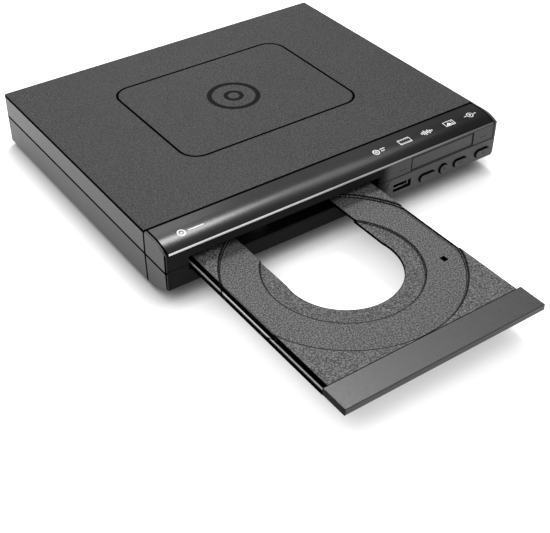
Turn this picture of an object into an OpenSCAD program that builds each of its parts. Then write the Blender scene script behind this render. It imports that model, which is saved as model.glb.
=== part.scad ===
// Compact disc player with its loading tray run out.
// The origin is the centre of the base pan's underside: +X is right, +Y is back, +Z is up.
// The front face lies at y = -body_d / 2. The rest pose is tray open, pickup deck lowered.

/* [Housing] */
// Width over the cheeks
body_w = 221; // [219:0.5:240]
// Depth from the front face to the back face
body_d = 184.5; // [182:0.5:215]
// Height of the top cover above the underside
body_h = 32.3; // [32:0.1:36]
// Wall of the moulded shells
wall = 1.8; // [1.4:0.1:2.2]
// Height of the seam between the upper and lower shells
seam_z = 18.7; // [18:0.1:19.2]
// Depth of the front fascia
fascia_d = 20.5; // [20:0.5:22]
// Gap at every seam between two shells
seam_gap = 0.5; // [0.3:0.05:0.6]
// Lean of the base pan's sides, top to bottom
side_draft = 0.5; // [0.2:0.1:1.4]
// Radius of the lower edges and of the upright back corners
corner_r = 1.6; // [1:0.1:4]
// Radius of the top cover's long edges
top_edge_r = 0.9; // [0.5:0.1:1.2]
// Width of the groove pressed round the top panel
groove_w = 1.3; // [0.6:0.1:2]
// Depth of that groove
groove_depth = 0.5; // [0.2:0.1:0.9]
// Width of the grooved frame, centre to centre
groove_frame_w = 118; // [90:1:140]
// Depth of the grooved frame, centre to centre
groove_frame_d = 89; // [70:1:100]
// Radius of a rubber foot
foot_r = 7; // [5:0.5:9]
// Height of a rubber foot below the base pan
foot_h = 2; // [1:0.5:6]

/* [Fascia] */
// How far the visor's lip lies below the top
brow_drop = 3.2; // [2.4:0.1:3.4]
// Depth of the visor's curved stretch
brow_d = 13.5; // [11:0.5:16]
// Thickness of the gloss visor
visor_t = 1.5; // [1.2:0.1:1.8]
// Height of the visor's front edge
visor_edge = 0.8; // [0.5:0.1:1]
// Height of the front face's lower edge
chin_z = 7.2; // [6:0.1:7.6]
// Thickness of the side cheeks
cheek = 1.4; // [1.2:0.1:1.8]
// How far the front wall stands behind the cheeks' edges
face_inset = 0.4; // [0.2:0.05:0.6]
// Width of the display window
window_w = 46.6; // [40:0.5:48]
// Height of the display window
window_h = 8.4; // [7.5:0.1:8.6]
// Centre of the display window from the middle
window_x = 70.3; // [68:0.1:71]
// How far the window's face is sunk
window_sink = 0.6; // [0.3:0.05:0.8]

/* [Controls] */
// How far the buttons stand out of the button panel
button_proud = 1.25; // [0.8:0.05:1.8]
// Gap round each button in its hole
button_gap = 0.85; // [0.3:0.05:0.9]
// Travel of a button
button_travel = 0.6; // [0.3:0.05:0.7]
// Centre of the power button, the first and widest one
power_x = 59.15; // [58.5:0.05:59.5]
// Centre of the round stop button
stop_x = 71.2; // [70.5:0.1:71.6]
// Centre of the play button
play_x = 84; // [83:0.1:84.8]
// Centre of the open button
open_x = 101.1; // [100:0.1:101.4]
// Height of the row of buttons
button_z = 11.6; // [11.3:0.1:12]
// Width of the play button's hole
play_w = 11; // [9:0.1:11.6]
// Height of the long buttons' holes
button_h = 5.6; // [5:0.1:6]
// Radius of the stop button's hole
stop_r = 3.5; // [3:0.1:3.6]
// Centre of the data socket in the front
usb_x = 40.95; // [40:0.1:41.5]

/* [Tray] */
// Middle of the tray and of the loader from the middle of the housing
tray_x = -36; // [-37:0.5:-35]
// Distance from the front face to the closed disc's centre
disc_setback = 77.4; // [77.4:0.1:79]
// Travel of the tray
travel = 121.7; // [115:0.1:122]
// Length of the tray with its front cover
tray_l = 160; // [158:0.5:161]
// Height of the tray's upper face
tray_top = 19.5; // [19.4:0.05:19.6]
// Thickness of the tray's plate
plate_t = 1.3; // [1.1:0.1:1.4]
// Width of the tray's plate
plate_w = 113.6; // [112.6:0.2:115.2]
// Radius of a full size disc
disc_r = 60; // [59.5:0.1:60.2]
// Radius of a small disc
small_disc_r = 40; // [39.5:0.1:40.1]
// Depth of the full size recess
disc_step = 1.7; // [1.5:0.1:1.8]
// Depth of the small recess below it
small_step = 1; // [0.8:0.1:1]
// Outward lean of both recesses' walls, run for rise
dish_lean = 0.55; // [0:0.05:0.6]
// Radius of the cut-out at the disc's centre
cutout_r = 30.5; // [29:0.5:31]
// Width of the front cover
cover_w = 119.2; // [118.8:0.1:119.6]
// Depth of the front cover
cover_d = 15.8; // [15.6:0.1:16]
// Height of the front cover
cover_h = 3.9; // [3.8:0.1:4]

/* [Loader] */
// Play between the tray and its guides
slide_gap = 0.25; // [0.2:0.01:0.3]
// Wall of the loader frame
loader_wall = 2; // [1.6:0.1:2.2]
// Module of the rack and its pinion
rack_module = 0.8; // [0.78:0.01:0.82]
// Teeth of the rack pinion
pinion_teeth = 11; // [11:1:12]
// Module of the reduction gears
gear_module = 0.7; // [0.68:0.01:0.71]
// Teeth of the large gear
large_teeth = 28; // [27:1:28]
// Teeth of the belt pulley's gear
small_teeth = 12; // [11:1:12]
// Radius of the belt pulley
pulley_r = 9; // [8:0.1:9.2]
// Radius of the motor's pulley
motor_pulley_r = 2.8; // [2.2:0.1:3.2]
// Thickness of the drive belt
belt_t = 1; // [0.8:0.05:1.1]
// Running clearance of a bore on its shaft
bore_gap = 0.05; // [0.03:0.01:0.09]

/* [Pickup deck] */
// Angle through which the pickup deck drops
drop_angle = 4; // [3.6:0.1:4]
// Height of the hinge's axis
hinge_z = 10.5; // [10.4:0.1:10.6]
// Radius of the turntable
turntable_r = 15; // [13:0.5:16]
// Radius of the turntable's centring hub
hub_r = 7.4; // [7.2:0.05:7.45]
// Travel of the pickup
pickup_travel = 33; // [30:0.5:34]
// Stroke of the cam slider that lifts the deck
cam_stroke = 12; // [11:0.5:13]

/* [Sockets] */
// Radius of a signal socket's barrel
jack_r = 4.15; // [4:0.05:4.2]
// How far a barrel stands out at the back
jack_proud = 8; // [6:0.5:10]
// Distance between the signal sockets
jack_pitch = 14; // [12:0.5:15]
// Centre of the mains inlet
inlet_x = 84; // [80:0.5:86]

/* [Hidden] */
$fn = 48;
overlap = 0.01;
fit = 0.15;

front_y = -body_d / 2;
back_y = body_d / 2;
half_w = body_w / 2;
seam_y = front_y + fascia_d;
face_y = front_y + face_inset;
inner_face_y = face_y + wall;
ceiling = body_h - wall;
spindle_y = front_y + disc_setback;
brow_r = (brow_d * brow_d + brow_drop * brow_drop) / (2 * brow_drop);
lip_z = body_h - brow_drop;
strip_top = lip_z - visor_edge - seam_gap;
window_back = face_y + window_sink + 0.6;
slot_half = cover_w / 2 + 1.4;
slot_bottom = tray_top - cover_h - 1;
slot_top = tray_top + 3.7;

charcoal = [0.30, 0.30, 0.31];
mid_grey = [0.42, 0.42, 0.43];
black = [0.08, 0.08, 0.09];
board_green = [0.10, 0.35, 0.20];
steel = [0.72, 0.73, 0.75];
ivory = [0.85, 0.84, 0.78];

// ---- outlines and helpers ----

// Points on an arc from angle a0 to a1.
function arc(x, y, r, a0, a1, steps = 8) =
    [for (i = [0:steps]) let (a = a0 + (a1 - a0) * i / steps) [x + r * cos(a), y + r * sin(a)]];

// Runs a profile drawn in (x, z) from y0 to y1.
module along_y(y0, y1) {
    translate([0, y1, 0]) rotate([90, 0, 0]) linear_extrude(y1 - y0) children();
}

// Runs a profile drawn in (y, z) from x0 to x1.
module along_x(x0, x1) {
    translate([x0, 0, 0]) rotate([90, 0, 90]) linear_extrude(x1 - x0) children();
}

// A box given by its lowest and highest corners.
module span(low, high) {
    translate(low) cube(high - low);
}

// A rectangle centred on the origin with true round corners.
module round_rect(w, d, r) {
    square([w - 2 * r, d], center = true);
    square([w, d - 2 * r], center = true);
    for (sx = [-1, 1], sy = [-1, 1])
        translate([sx * (w / 2 - r), sy * (d / 2 - r)]) circle(r);
}

// A long round-ended shape, w wide and h high.
module stadium(w, h) {
    square([w - h, h], center = true);
    for (s = [-1, 1]) translate([s * (w - h) / 2, 0]) circle(h / 2);
}

// A round pin standing up from z0 to z1.
module pin(x, y, r, z0, z1) {
    translate([x, y, z0]) cylinder(r = r, h = z1 - z0);
}

// A rod along y with its centre at height z.
module rod(x, z, r, y0, y1) {
    translate([x, y0, z]) rotate([-90, 0, 0]) cylinder(r = r, h = y1 - y0);
}

// The X-Z outline of the base pan, drawn smaller by inset all round.
module pan_outline(inset) {
    lean = atan(side_draft / seam_z);
    r = max(corner_r - inset, 0.6);
    side = half_w - inset;
    cx = side - r * cos(lean) - (seam_z - inset - r + r * sin(lean)) * tan(lean);
    right = arc(cx, inset + r, r, -90, -lean, 6);
    left = [for (i = [len(right) - 1:-1:0]) [-right[i][0], right[i][1]]];
    polygon(concat(right, [[side, seam_z + overlap], [-side, seam_z + overlap]], left));
}

// The X-Z outline of the top cover, drawn smaller by inset on the sides and top.
module cover_outline(inset) {
    r = top_edge_r;
    side = half_w - inset;
    top = body_h - inset;
    right = arc(side - r, top - r, r, 0, 90, 5);
    left = arc(r - side, top - r, r, 90, 180, 5);
    polygon(concat([[side, seam_z - overlap]], right, left, [[-side, seam_z - overlap]]));
}

// The plan of pan and cover, with round back corners, from the seam back.
module plan_outline(inset) {
    r = max(corner_r - inset, 0.6);
    side = half_w - inset;
    back = back_y - inset;
    polygon(concat([[-side, seam_y - overlap], [side, seam_y - overlap]],
                   arc(side - r, back - r, r, 0, 90, 5), arc(r - side, back - r, r, 90, 180, 5)));
}

// The fascia's curved brow in (y, z), set down by inset, from the seam to the face.
module brow_area(inset, from_z, reach = 0) {
    intersection() {
        translate([front_y, from_z]) square([fascia_d - seam_gap + reach, body_h - inset - from_z]);
        union() {
            translate([front_y + brow_d, body_h - brow_r]) circle(brow_r - inset, $fn = 128);
            translate([front_y + brow_d, 0]) square([fascia_d, body_h]);
        }
    }
}

// The curved chin as points in (y, z), moved in along its slope by inset.
chin_turn_r = 10;
chin_slope = 27;
chin_lip_r = 3.5;
chin_y = front_y + chin_z / tan(chin_slope) + chin_turn_r * tan(chin_slope / 2) + 0.6;
function chin_points(inset) =
    let (dy = inset * sin(chin_slope), dz = inset * cos(chin_slope))
    concat([[seam_y - seam_gap + inset, dz]],
           [for (p = arc(chin_y + dy, chin_turn_r + dz, chin_turn_r, -90, -90 - chin_slope, 4)) p],
           [[front_y + chin_lip_r + dy, chin_z - chin_lip_r * tan(chin_slope) + 0.55 + dz],
            [front_y + dy, chin_z + dz]]);

// The lower fascia's outline in (y, z): the chin below, the seam above.
module chin_area(inset, face, top) {
    intersection() {
        polygon(concat(chin_points(inset), [[front_y, top], [seam_y - seam_gap + inset, top]]));
        translate([face, 0]) square([fascia_d + 1, top]);
    }
}

// ---- housing ----

post_x = half_w - 7;
post_front = seam_y + 7.75;
post_back = back_y - 8.25;
post_r = 4;
screw_r = 1.3;
screw_head_r = 2.8;
head_z = seam_z - 9;
rear_w = body_w - 21;
rear_low = 4.5;
rear_high = body_h - 4.3;
rear_lip = 1.5;
rear_skin = 1;

board_z = 7.5;
board_t = 1.6;
power_z = 6;
bay_left = tray_x + 68;
bay_right = half_w - 12.5;
main_front = front_y + 16.25;
main_back = 16;
power_front = 24;
power_back = back_y - 6.25;

flange_half = cover_w / 2 - 0.1;
side_play = 0.4;
loader_inner = cover_w / 2 + side_play;
loader_outer = loader_inner + loader_wall;
deck_z = 3;
deck_t = 1.6;
loader_front = front_y + 13.75;
loader_back = 70;

// Places where a seat of each board or of the loader stands on the pan's floor.
board_seats = [for (x = [bay_left + 4, bay_right - 4], y = [main_front + 9, main_back - 6]) [x, y]];
power_seats = [for (x = [bay_left + 4, bay_right - 4], y = [power_front + 4, power_back - 5]) [x, y]];
loader_seats = [for (x = [-45, 45], y = [-30, 48]) [tray_x + x, y]];
av_z = 6;
av_front = loader_back + 4;
av_back = back_y - 4.25;
av_left = tray_x - 44;
av_right = tray_x + 22;
av_seats = [[av_left + 8, av_front + 4], [av_right - 4, av_front + 4]];
foot_places = [for (sx = [-1, 1], y = [front_y + 34, back_y - 22]) [sx * (half_w - 22), y]];

module base_pan() color(mid_grey) {
    vent_count = 9;
    difference() {
        union() {
            difference() {
                intersection() {
                    along_y(seam_y, back_y) pan_outline(0);
                    linear_extrude(seam_z - seam_gap) plan_outline(0);
                }
                intersection() {
                    along_y(seam_y - 1, back_y) pan_outline(wall);
                    linear_extrude(seam_z + 1) plan_outline(wall);
                }
                // window for the rear panel
                span([-rear_w / 2, back_y - wall - 1, rear_low], [rear_w / 2, back_y + 1, seam_z + 1]);
            }
            for (sx = [-1, 1], y = [post_front, post_back])
                pin(sx * post_x, y, post_r, wall - overlap, seam_z);
            for (p = board_seats) pin(p[0], p[1], 3, wall - overlap, board_z);
            for (p = power_seats) pin(p[0], p[1], 3, wall - overlap, power_z);
            for (p = av_seats) pin(p[0], p[1], 3, wall - overlap, av_z);
            for (p = loader_seats) pin(p[0], p[1], 4, wall - overlap, deck_z);
            // tongue rib behind the lower fascia
            span([-half_w + 20, seam_y, wall - overlap], [half_w - 20, seam_y + 1.2, wall + 1]);
        }
        for (sx = [-1, 1], y = [post_front, post_back]) {
            pin(sx * post_x, y, screw_r + 0.35, -1, seam_z);
            pin(sx * post_x, y, screw_head_r + 0.3, -1, head_z);
        }
        for (p = loader_seats) pin(p[0], p[1], screw_r, 0.6, deck_z + 1);
        // rows of cooling slots under the power board
        for (i = [0:vent_count - 1])
            translate([bay_left + 12 + i * 5.5, power_front + 28, -1])
                linear_extrude(wall + 2) rotate(90) stadium(26, 2);
    }
}

module top_cover() color(charcoal) {
    groove_x = 1;
    groove_y = 13.3;
    groove_r = 11;
    difference() {
        union() {
            difference() {
                intersection() {
                    along_y(seam_y, back_y) cover_outline(0);
                    linear_extrude(body_h) plan_outline(0);
                }
                translate([0, 0, -overlap]) intersection() {
                    along_y(seam_y - 1, back_y) cover_outline(wall);
                    linear_extrude(body_h) plan_outline(wall);
                }
                span([-rear_w / 2, back_y - wall - 1, seam_z - 1], [rear_w / 2, back_y + 1, rear_high]);
            }
            for (sx = [-1, 1], y = [post_front, post_back])
                pin(sx * post_x, y, post_r, seam_z, ceiling + overlap);
            // lip that the fascia's roof hooks under
            span([-half_w + 12, seam_y, ceiling - 2.5], [half_w - 12, seam_y + 1.2, ceiling + overlap]);
        }
        for (sx = [-1, 1], y = [post_front, post_back])
            pin(sx * post_x, y, screw_r, seam_z - 1, ceiling - 2.3);
        translate([groove_x, groove_y, body_h - groove_depth]) linear_extrude(1) difference() {
            round_rect(groove_frame_w + groove_w, groove_frame_d + groove_w, groove_r + groove_w / 2);
            round_rect(groove_frame_w - groove_w, groove_frame_d - groove_w, groove_r - groove_w / 2);
        }
    }
}

jack_z = 13.3;
inlet_z = 13.5;
inlet_w = 16.4;
inlet_h = 9.4;
jack_places = [for (i = [0:2]) tray_x - 28 + i * jack_pitch];
panel_face = back_y - 0.5;
collar_r = jack_r + 1;
collar_end = panel_face + 0.8;
neck_l = 0.3;

module rear_panel() color(black) {
    plate_y = back_y - wall;
    vent_count = 12;
    difference() {
        union() {
            span([-rear_w / 2 + fit, plate_y - overlap, rear_low + fit],
                 [rear_w / 2 - fit, panel_face, rear_high - fit]);
            span([-rear_w / 2 - rear_lip, plate_y - fit - rear_skin, rear_low - rear_lip],
                 [rear_w / 2 + rear_lip, plate_y - fit, rear_high + rear_lip]);
            span([-rear_w / 2 + fit, plate_y - fit - rear_skin, rear_low + fit],
                 [rear_w / 2 - fit, plate_y, rear_high - fit]);
        }
        for (x = jack_places)
            rod(x, jack_z, collar_r + fit, back_y - wall - 4, back_y + 1);
        along_y(back_y - wall - 4, back_y + 1)
            translate([inlet_x, inlet_z]) stadium(inlet_w + 2 * fit, inlet_h + 2 * fit);
        for (i = [0:vent_count - 1]) along_y(back_y - wall - 4, back_y + 1)
            translate([6 + i * 5, 22]) rotate(90) stadium(7, 2);
    }
}

module rubber_feet() color(black)
    for (p = foot_places) pin(p[0], p[1], foot_r, -foot_h, 0);

module screw(x, y, z, length) {
    pin(x, y, screw_head_r, z - 2, z);
    pin(x, y, screw_r - 0.05, z - overlap, z + length);
}

module case_screws() color(steel)
    for (sx = [-1, 1], y = [post_front, post_back])
        screw(sx * post_x, y, head_z, ceiling - head_z - 4.8);

module loader_screws() color(steel)
    for (p = loader_seats) {
        pin(p[0], p[1], screw_head_r, deck_z + deck_t, deck_z + deck_t + 1.8);
        pin(p[0], p[1], screw_r - 0.05, 0.8, deck_z + deck_t + overlap);
    }

panel_left = 28.8;
panel_slant = 0.94;
usb_w = 12.9;
usb_h = 4.9;
usb_z = 11.85;
power_w = 12.5;
open_w = 11.6;
slant_z0 = 13.4;

// The outlines of the four button holes in (x, z), smaller by inset all round.
module button_hole(i, inset) {
    if (i == 0) translate([power_x, button_z - 0.4]) stadium(power_w - 2 * inset, button_h - 2 * inset);
    if (i == 1) translate([stop_x, button_z + 0.2]) circle(stop_r - inset);
    if (i == 2) translate([play_x, button_z]) stadium(play_w - 2 * inset, button_h - 2 * inset);
    if (i == 3) translate([open_x, button_z + 0.3]) stadium(open_w - 2 * inset, button_h - 2 * inset);
}

board_y = front_y + 9.25;
post_places = [60, 92.4];
board_post_z = 16.7;

module lower_fascia() color(charcoal) {
    top = seam_z - seam_gap;
    difference() {
        intersection() {
            along_y(front_y - 1, seam_y) pan_outline(0);
            union() {
                for (s = [-1, 1]) {
                    low = s < 0 ? -half_w : half_w - cheek - side_draft;
                    along_x(low, low + cheek + side_draft) chin_area(0, front_y, top);
                }
                // skin: front wall and chin
                difference() {
                    along_x(-half_w, half_w) chin_area(0, face_y, top);
                    intersection() {
                        along_x(-half_w, half_w) chin_area(wall, inner_face_y, seam_z + 1);
                        along_y(front_y, seam_y + 1) pan_outline(cheek);
                    }
                }
                // raised button panel with its slanted end
                intersection() {
                    along_x(0, half_w) difference() {
                        chin_area(0, front_y, top);
                        chin_area(0, face_y + overlap, seam_z + 1);
                    }
                    along_y(front_y - 1, face_y + 1) polygon([
                        [panel_left + (top - slant_z0) * panel_slant, top], [half_w, top], [half_w, 0],
                        [panel_left - slant_z0 * panel_slant, 0]]);
                }
                for (x = post_places)
                    translate([x, board_y, board_post_z]) rotate([90, 0, 0])
                        cylinder(r = 1.6, h = board_y - inner_face_y + overlap);
            }
        }
        // lower half of the tray slot
        span([tray_x - slot_half, front_y - 1, slot_bottom], [tray_x + slot_half, inner_face_y + 1, seam_z + 1]);
        along_y(front_y - 1, inner_face_y + 1)
            translate([usb_x, usb_z]) square([usb_w, usb_h], center = true);
        for (i = [0:3]) along_y(front_y - 1, inner_face_y + 1) button_hole(i, 0);
        // round the chin's two corners
        for (s = [-1, 1]) mirror([s < 0 ? 1 : 0, 0, 0]) chin_corner();
    }
}

// Cuts the outside corner that runs down the chin on the right.
module chin_corner() {
    r = 2.6;
    translate([half_w, front_y, chin_z - 0.1]) rotate([-chin_slope, 0, 0]) translate([0, -6, 0])
        along_y(0, 30) difference() {
            translate([-r, -r]) square(2 * r);
            translate([-r, r]) circle(r);
        }
}

module upper_fascia() color(charcoal) {
    roof_t = 1.2;
    under = visor_t + 0.1;
    difference() {
        union() {
            intersection() {
                for (s = [-1, 1]) {
                    low = s < 0 ? -half_w : half_w - cheek;
                    along_x(low, low + cheek) brow_area(0, seam_z);
                }
                along_y(front_y - 1, seam_y) cover_outline(0);
            }
            // roof under the visor
            along_x(cheek - half_w - overlap, half_w - cheek + overlap) difference() {
                brow_area(under, strip_top - roof_t);
                brow_area(under + roof_t, seam_z, 1);
                translate([front_y - 1, 0]) square([1 + face_inset, body_h]);
                translate([front_y - 1, strip_top]) square([1.1 + face_inset + wall, body_h]);
            }
            // front wall
            span([cheek - half_w - overlap, face_y, seam_z], [half_w - cheek + overlap, inner_face_y, strip_top]);
        }
        span([tray_x - slot_half, front_y - 1, seam_z - 1], [tray_x + slot_half, inner_face_y + 1, slot_top]);
        // window pocket and the opening behind it
        span([window_x - window_w / 2 - fit, front_y - 1, seam_z - 1],
             [window_x + window_w / 2 + fit, window_back, seam_z + fit + window_h]);
        span([window_x - window_w / 2 + 2, front_y - 1, seam_z + 1.5],
             [window_x + window_w / 2 - 2, inner_face_y + 1, seam_z + window_h - 1.5]);
    }
}

module visor() color(black) {
    along_x(cheek - half_w + seam_gap, half_w - cheek - seam_gap) difference() {
        brow_area(0, lip_z - visor_edge);
        intersection() {
            brow_area(visor_t, lip_z - visor_edge - 1, 1);
            translate([face_y + wall, 0]) square([fascia_d, body_h]);
        }
        translate([front_y - 1, lip_z - visor_edge - 5]) square([1 + face_inset * 0.5, body_h]);
        translate([front_y - 1, 0]) square([fascia_d, lip_z - visor_edge]);
    }
}

module display_window() color(black)
    span([window_x - window_w / 2, face_y + window_sink, seam_z + fit],
         [window_x + window_w / 2, window_back, seam_z + window_h]);

// ---- sockets, boards and controls ----

usb_tab_half = 8;
usb_tab_in = 5.2;
usb_tab_front = front_y + usb_tab_in;

module main_board() color(board_green) {
    span([bay_left, main_front, board_z], [bay_right, main_back, board_z + board_t]);
    span([usb_x - usb_tab_half, usb_tab_front, board_z], [usb_x + usb_tab_half, main_front + overlap, board_z + board_t]);
}

// A flat chip with its pads' outline, seated on a board.
module chip(x, y, z, size, height) {
    translate([x, y, z]) linear_extrude(height) square(size, center = true);
}

decoder_size = 20;
decoder_h = 1.6;
decoder_in = [34, 42];
memory_size = [18, 9];
driver_size = [12, 7];
flat_chip_h = 1.2;
chip_space = 14;
socket_strip = [8, 30];
socket_h = 6;
small_can_r = 2.5;
small_can_h = 5.5;
can_step = 9;
can_in = [50, 16];

module main_board_parts() color(black) {
    z = board_z + board_t;
    column = bay_left + decoder_in[0];
    decoder_y = main_front + decoder_in[1];
    chip(column, decoder_y, z, decoder_size, decoder_h);
    chip(column, decoder_y + 2 * chip_space, z, memory_size, flat_chip_h);
    chip(bay_left + driver_size[0], decoder_y + 4, z, driver_size, flat_chip_h);
    chip(bay_right - socket_strip[0], decoder_y + chip_space, z, socket_strip, socket_h);
    for (i = [0:4])
        pin(bay_left + can_in[0], main_front + can_in[1] + i * can_step, small_can_r, z, z + small_can_h);
}

module power_board() color([0.62, 0.50, 0.30])
    span([bay_left, power_front, power_z], [bay_right, power_back, power_z + board_t]);

core_size = [20, 18];
core_h = 15;
core_in = [44, 26];
part_space = 11;
winding_size = [23, 13];
winding_h = 9;
bulk_r = 8;
bulk_h = 17;
output_r = 5;
output_h = 14;
filter_size = [14, 8];
filter_h = 11;
fin_size = [6, 16];
fin_h = 9;

module power_parts() color([0.75, 0.65, 0.25]) {
    z = power_z + board_t;
    core_x = bay_left + core_in[0];
    core_y = power_front + core_in[1];
    can_x = core_x - 2 * part_space - 2;
    rear_y = core_y + core_size[1] / 2 + part_space;
    chip(core_x, core_y, z, core_size, core_h);
    chip(core_x, core_y, z + (core_h - winding_h) / 2, winding_size, winding_h);
    pin(can_x + 2, core_y - part_space, bulk_r, z, z + bulk_h);
    for (i = [1, 2]) pin(can_x, core_y + i * (part_space + 1) + 2, output_r, z, z + output_h);
    chip(core_x - 2, rear_y, z, filter_size, filter_h);
    chip(core_x + filter_size[0], rear_y, z, fin_size, fin_h);
}

module av_board() color(board_green)
    span([av_left, av_front, av_z], [av_right, av_back, av_z + board_t]);

// A signal socket: body on its board, collar through the panel, neck and barrel out at the back.
module jack(x) {
    y0 = back_y - wall - rear_skin - fit;
    bore_r = 1.7;
    difference() {
        union() {
            span([x - 5, av_front + 1, av_z + board_t], [x + 5, y0 - 0.1, jack_z + 5]);
            rod(x, jack_z, collar_r, y0 - 0.2, collar_end);
            rod(x, jack_z, jack_r - 0.3, collar_end - overlap, collar_end + neck_l + overlap);
            rod(x, jack_z, jack_r, collar_end + neck_l, back_y + jack_proud);
        }
        rod(x, jack_z, bore_r, back_y - 6, back_y + jack_proud + 2);
    }
}

module video_jack() color([0.90, 0.75, 0.10]) jack(jack_places[0]);
module left_jack() color("white") jack(jack_places[1]);
module right_jack() color([0.75, 0.12, 0.10]) jack(jack_places[2]);

inlet_depth = 10;

module mains_inlet() color(black) {
    y0 = back_y - wall - rear_skin - fit - 0.1;
    difference() {
        union() {
            along_y(back_y - inlet_depth - 3, back_y - 0.2)
                translate([inlet_x, inlet_z]) stadium(inlet_w, inlet_h);
            span([inlet_x - inlet_w / 2 - 2, y0 - 1.2, power_z + board_t - 0.5],
                 [inlet_x + inlet_w / 2 + 2, y0, inlet_z + inlet_h / 2 + 2]);
            span([inlet_x - inlet_w / 2, back_y - inlet_depth - 3, power_z + board_t],
                 [inlet_x + inlet_w / 2, y0 - 1, inlet_z]);
        }
        along_y(back_y - inlet_depth, back_y + 1)
            translate([inlet_x, inlet_z]) stadium(inlet_w - 1.8, inlet_h - 1.8);
    }
}

module inlet_pins() color(steel)
    for (s = [-1, 1])
        translate([inlet_x + s * 4.3, back_y - inlet_depth, inlet_z]) rotate([-90, 0, 0])
            cylinder(r = 1.15, h = inlet_depth - 1);

usb_front = inner_face_y + 0.2;
usb_l = 13;

module usb_shell() color(steel) {
    shell_t = 0.35;
    difference() {
        along_y(usb_front, usb_front + usb_l)
            translate([usb_x, usb_z]) square([usb_w + 2 * shell_t, 2 * (usb_z - board_z - board_t)], center = true);
        along_y(usb_front - 1, usb_front + usb_l - 0.6)
            translate([usb_x, usb_z]) square([usb_w, 2 * (usb_z - board_z - board_t) - 2 * shell_t], center = true);
    }
}

module usb_tongue() color("white")
    span([usb_x - 5.6, front_y + 4.8, usb_z - 0.2], [usb_x + 5.6, usb_front + usb_l - 0.6, usb_z + 1.6]);

front_board_t = 1.6;

module front_board() color(board_green)
    span([power_x - 9, board_y, 6.4], [open_x + 6.9, board_y + front_board_t, body_h - 3.8]);

button_back = front_y + 4.65;
switch_xs = [power_x, stop_x, play_x, open_x];
plunger_y = button_back + button_travel + 0.1;

module tact_switches() color(steel)
    for (x = switch_xs) {
        span([x - 3, board_y - 3.1, button_z - 3], [x + 3, board_y, button_z + 3]);
        translate([x, plunger_y, button_z]) rotate([-90, 0, 0]) cylinder(r = 1.5, h = board_y - plunger_y - 3);
    }

// A button: cap through its hole, flange behind the wall and stem to its switch.
module button(i) {
    flange_y = inner_face_y + 0.3;
    along_y(front_y - button_proud, flange_y + 0.4) button_hole(i, button_gap);
    intersection() {
        along_y(flange_y, flange_y + 0.8) button_hole(i, -0.9);
        span([0, front_y, chin_z + 1.4], [half_w, seam_y, seam_z]);
    }
    translate([switch_xs[i], flange_y + 0.4, button_z]) rotate([-90, 0, 0])
        cylinder(r = 1.8, h = button_back - flange_y - 0.4);
}

module power_button() color(charcoal) button(0);
module stop_button() color(charcoal) button(1);
module play_button() color(charcoal) button(2);
module open_button() color(charcoal) button(3);

module display_module() color(ivory) {
    span([power_x - 8, window_back + 0.3, seam_z + 1.8], [power_x + 24, board_y, seam_z + window_h - 1.8]);
    span([power_x - 8, inner_face_y + 0.3, seam_z + 0.6], [power_x + 24, board_y, seam_z + window_h]);
}

module ir_receiver() color(black) {
    x = window_x + window_w / 2 - 5;
    span([x - 3, board_y - 3, seam_z + 1.5], [x + 3, board_y, seam_z + window_h - 0.4]);
    translate([x, board_y - 3, seam_z + window_h / 2]) sphere(2);
}

// ---- loader ----

tray_wall_half = plate_w / 2 - 1.2;
rack_line = 3.2 - tray_wall_half;
drive_x = tray_x + rack_line + rack_module * pinion_teeth / 2;
drive_y = front_y + 28;
gear_reach = gear_module * (large_teeth + small_teeth) / 2;
belt_gear_x = drive_x + gear_reach;
belt_centres = 28.6;
motor_x = belt_gear_x + belt_centres;
post_pin_r = 1.5;
gear_z = 7.5;
gear_t = 2;
pinion_z = 14.2;
pinion_top = pinion_z + 2;
belt_z = gear_z + 3.9;
belt_h = 1.2;
groove_r = pulley_r - 1.1;

// Involute tooth outline for a gear of module m and z teeth, pressure angle 20.
addendum_share = 0.65;
dedendum_share = 0.9;
function involute_turn(base_r, r) =
    let (t = sqrt(max(0, r * r / (base_r * base_r) - 1))) t * 180 / PI - atan(t);
module spur_outline(m, z) {
    pitch_r = m * z / 2;
    base_r = pitch_r * cos(20);
    tip_r = pitch_r + addendum_share * m;
    root_r = pitch_r - dedendum_share * m;
    slack = 2.2;
    half = 90 / z - slack / z * 3 + involute_turn(base_r, pitch_r);
    start_r = max(base_r, root_r);
    radii = [for (i = [0:3]) start_r + (tip_r - start_r) * i / 3];
    circle(root_r + overlap);
    for (k = [0:z - 1]) rotate(k * 360 / z) polygon(concat(
        [[root_r * cos(half) * 0.97, -root_r * sin(half) * 0.97]],
        [for (r = radii) let (a = half - involute_turn(base_r, r)) [r * cos(a), -r * sin(a)]],
        [for (i = [3:-1:0]) let (r = radii[i], a = half - involute_turn(base_r, r)) [r * cos(a), r * sin(a)]],
        [[root_r * cos(half) * 0.97, root_r * sin(half) * 0.97]]));
}

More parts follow.
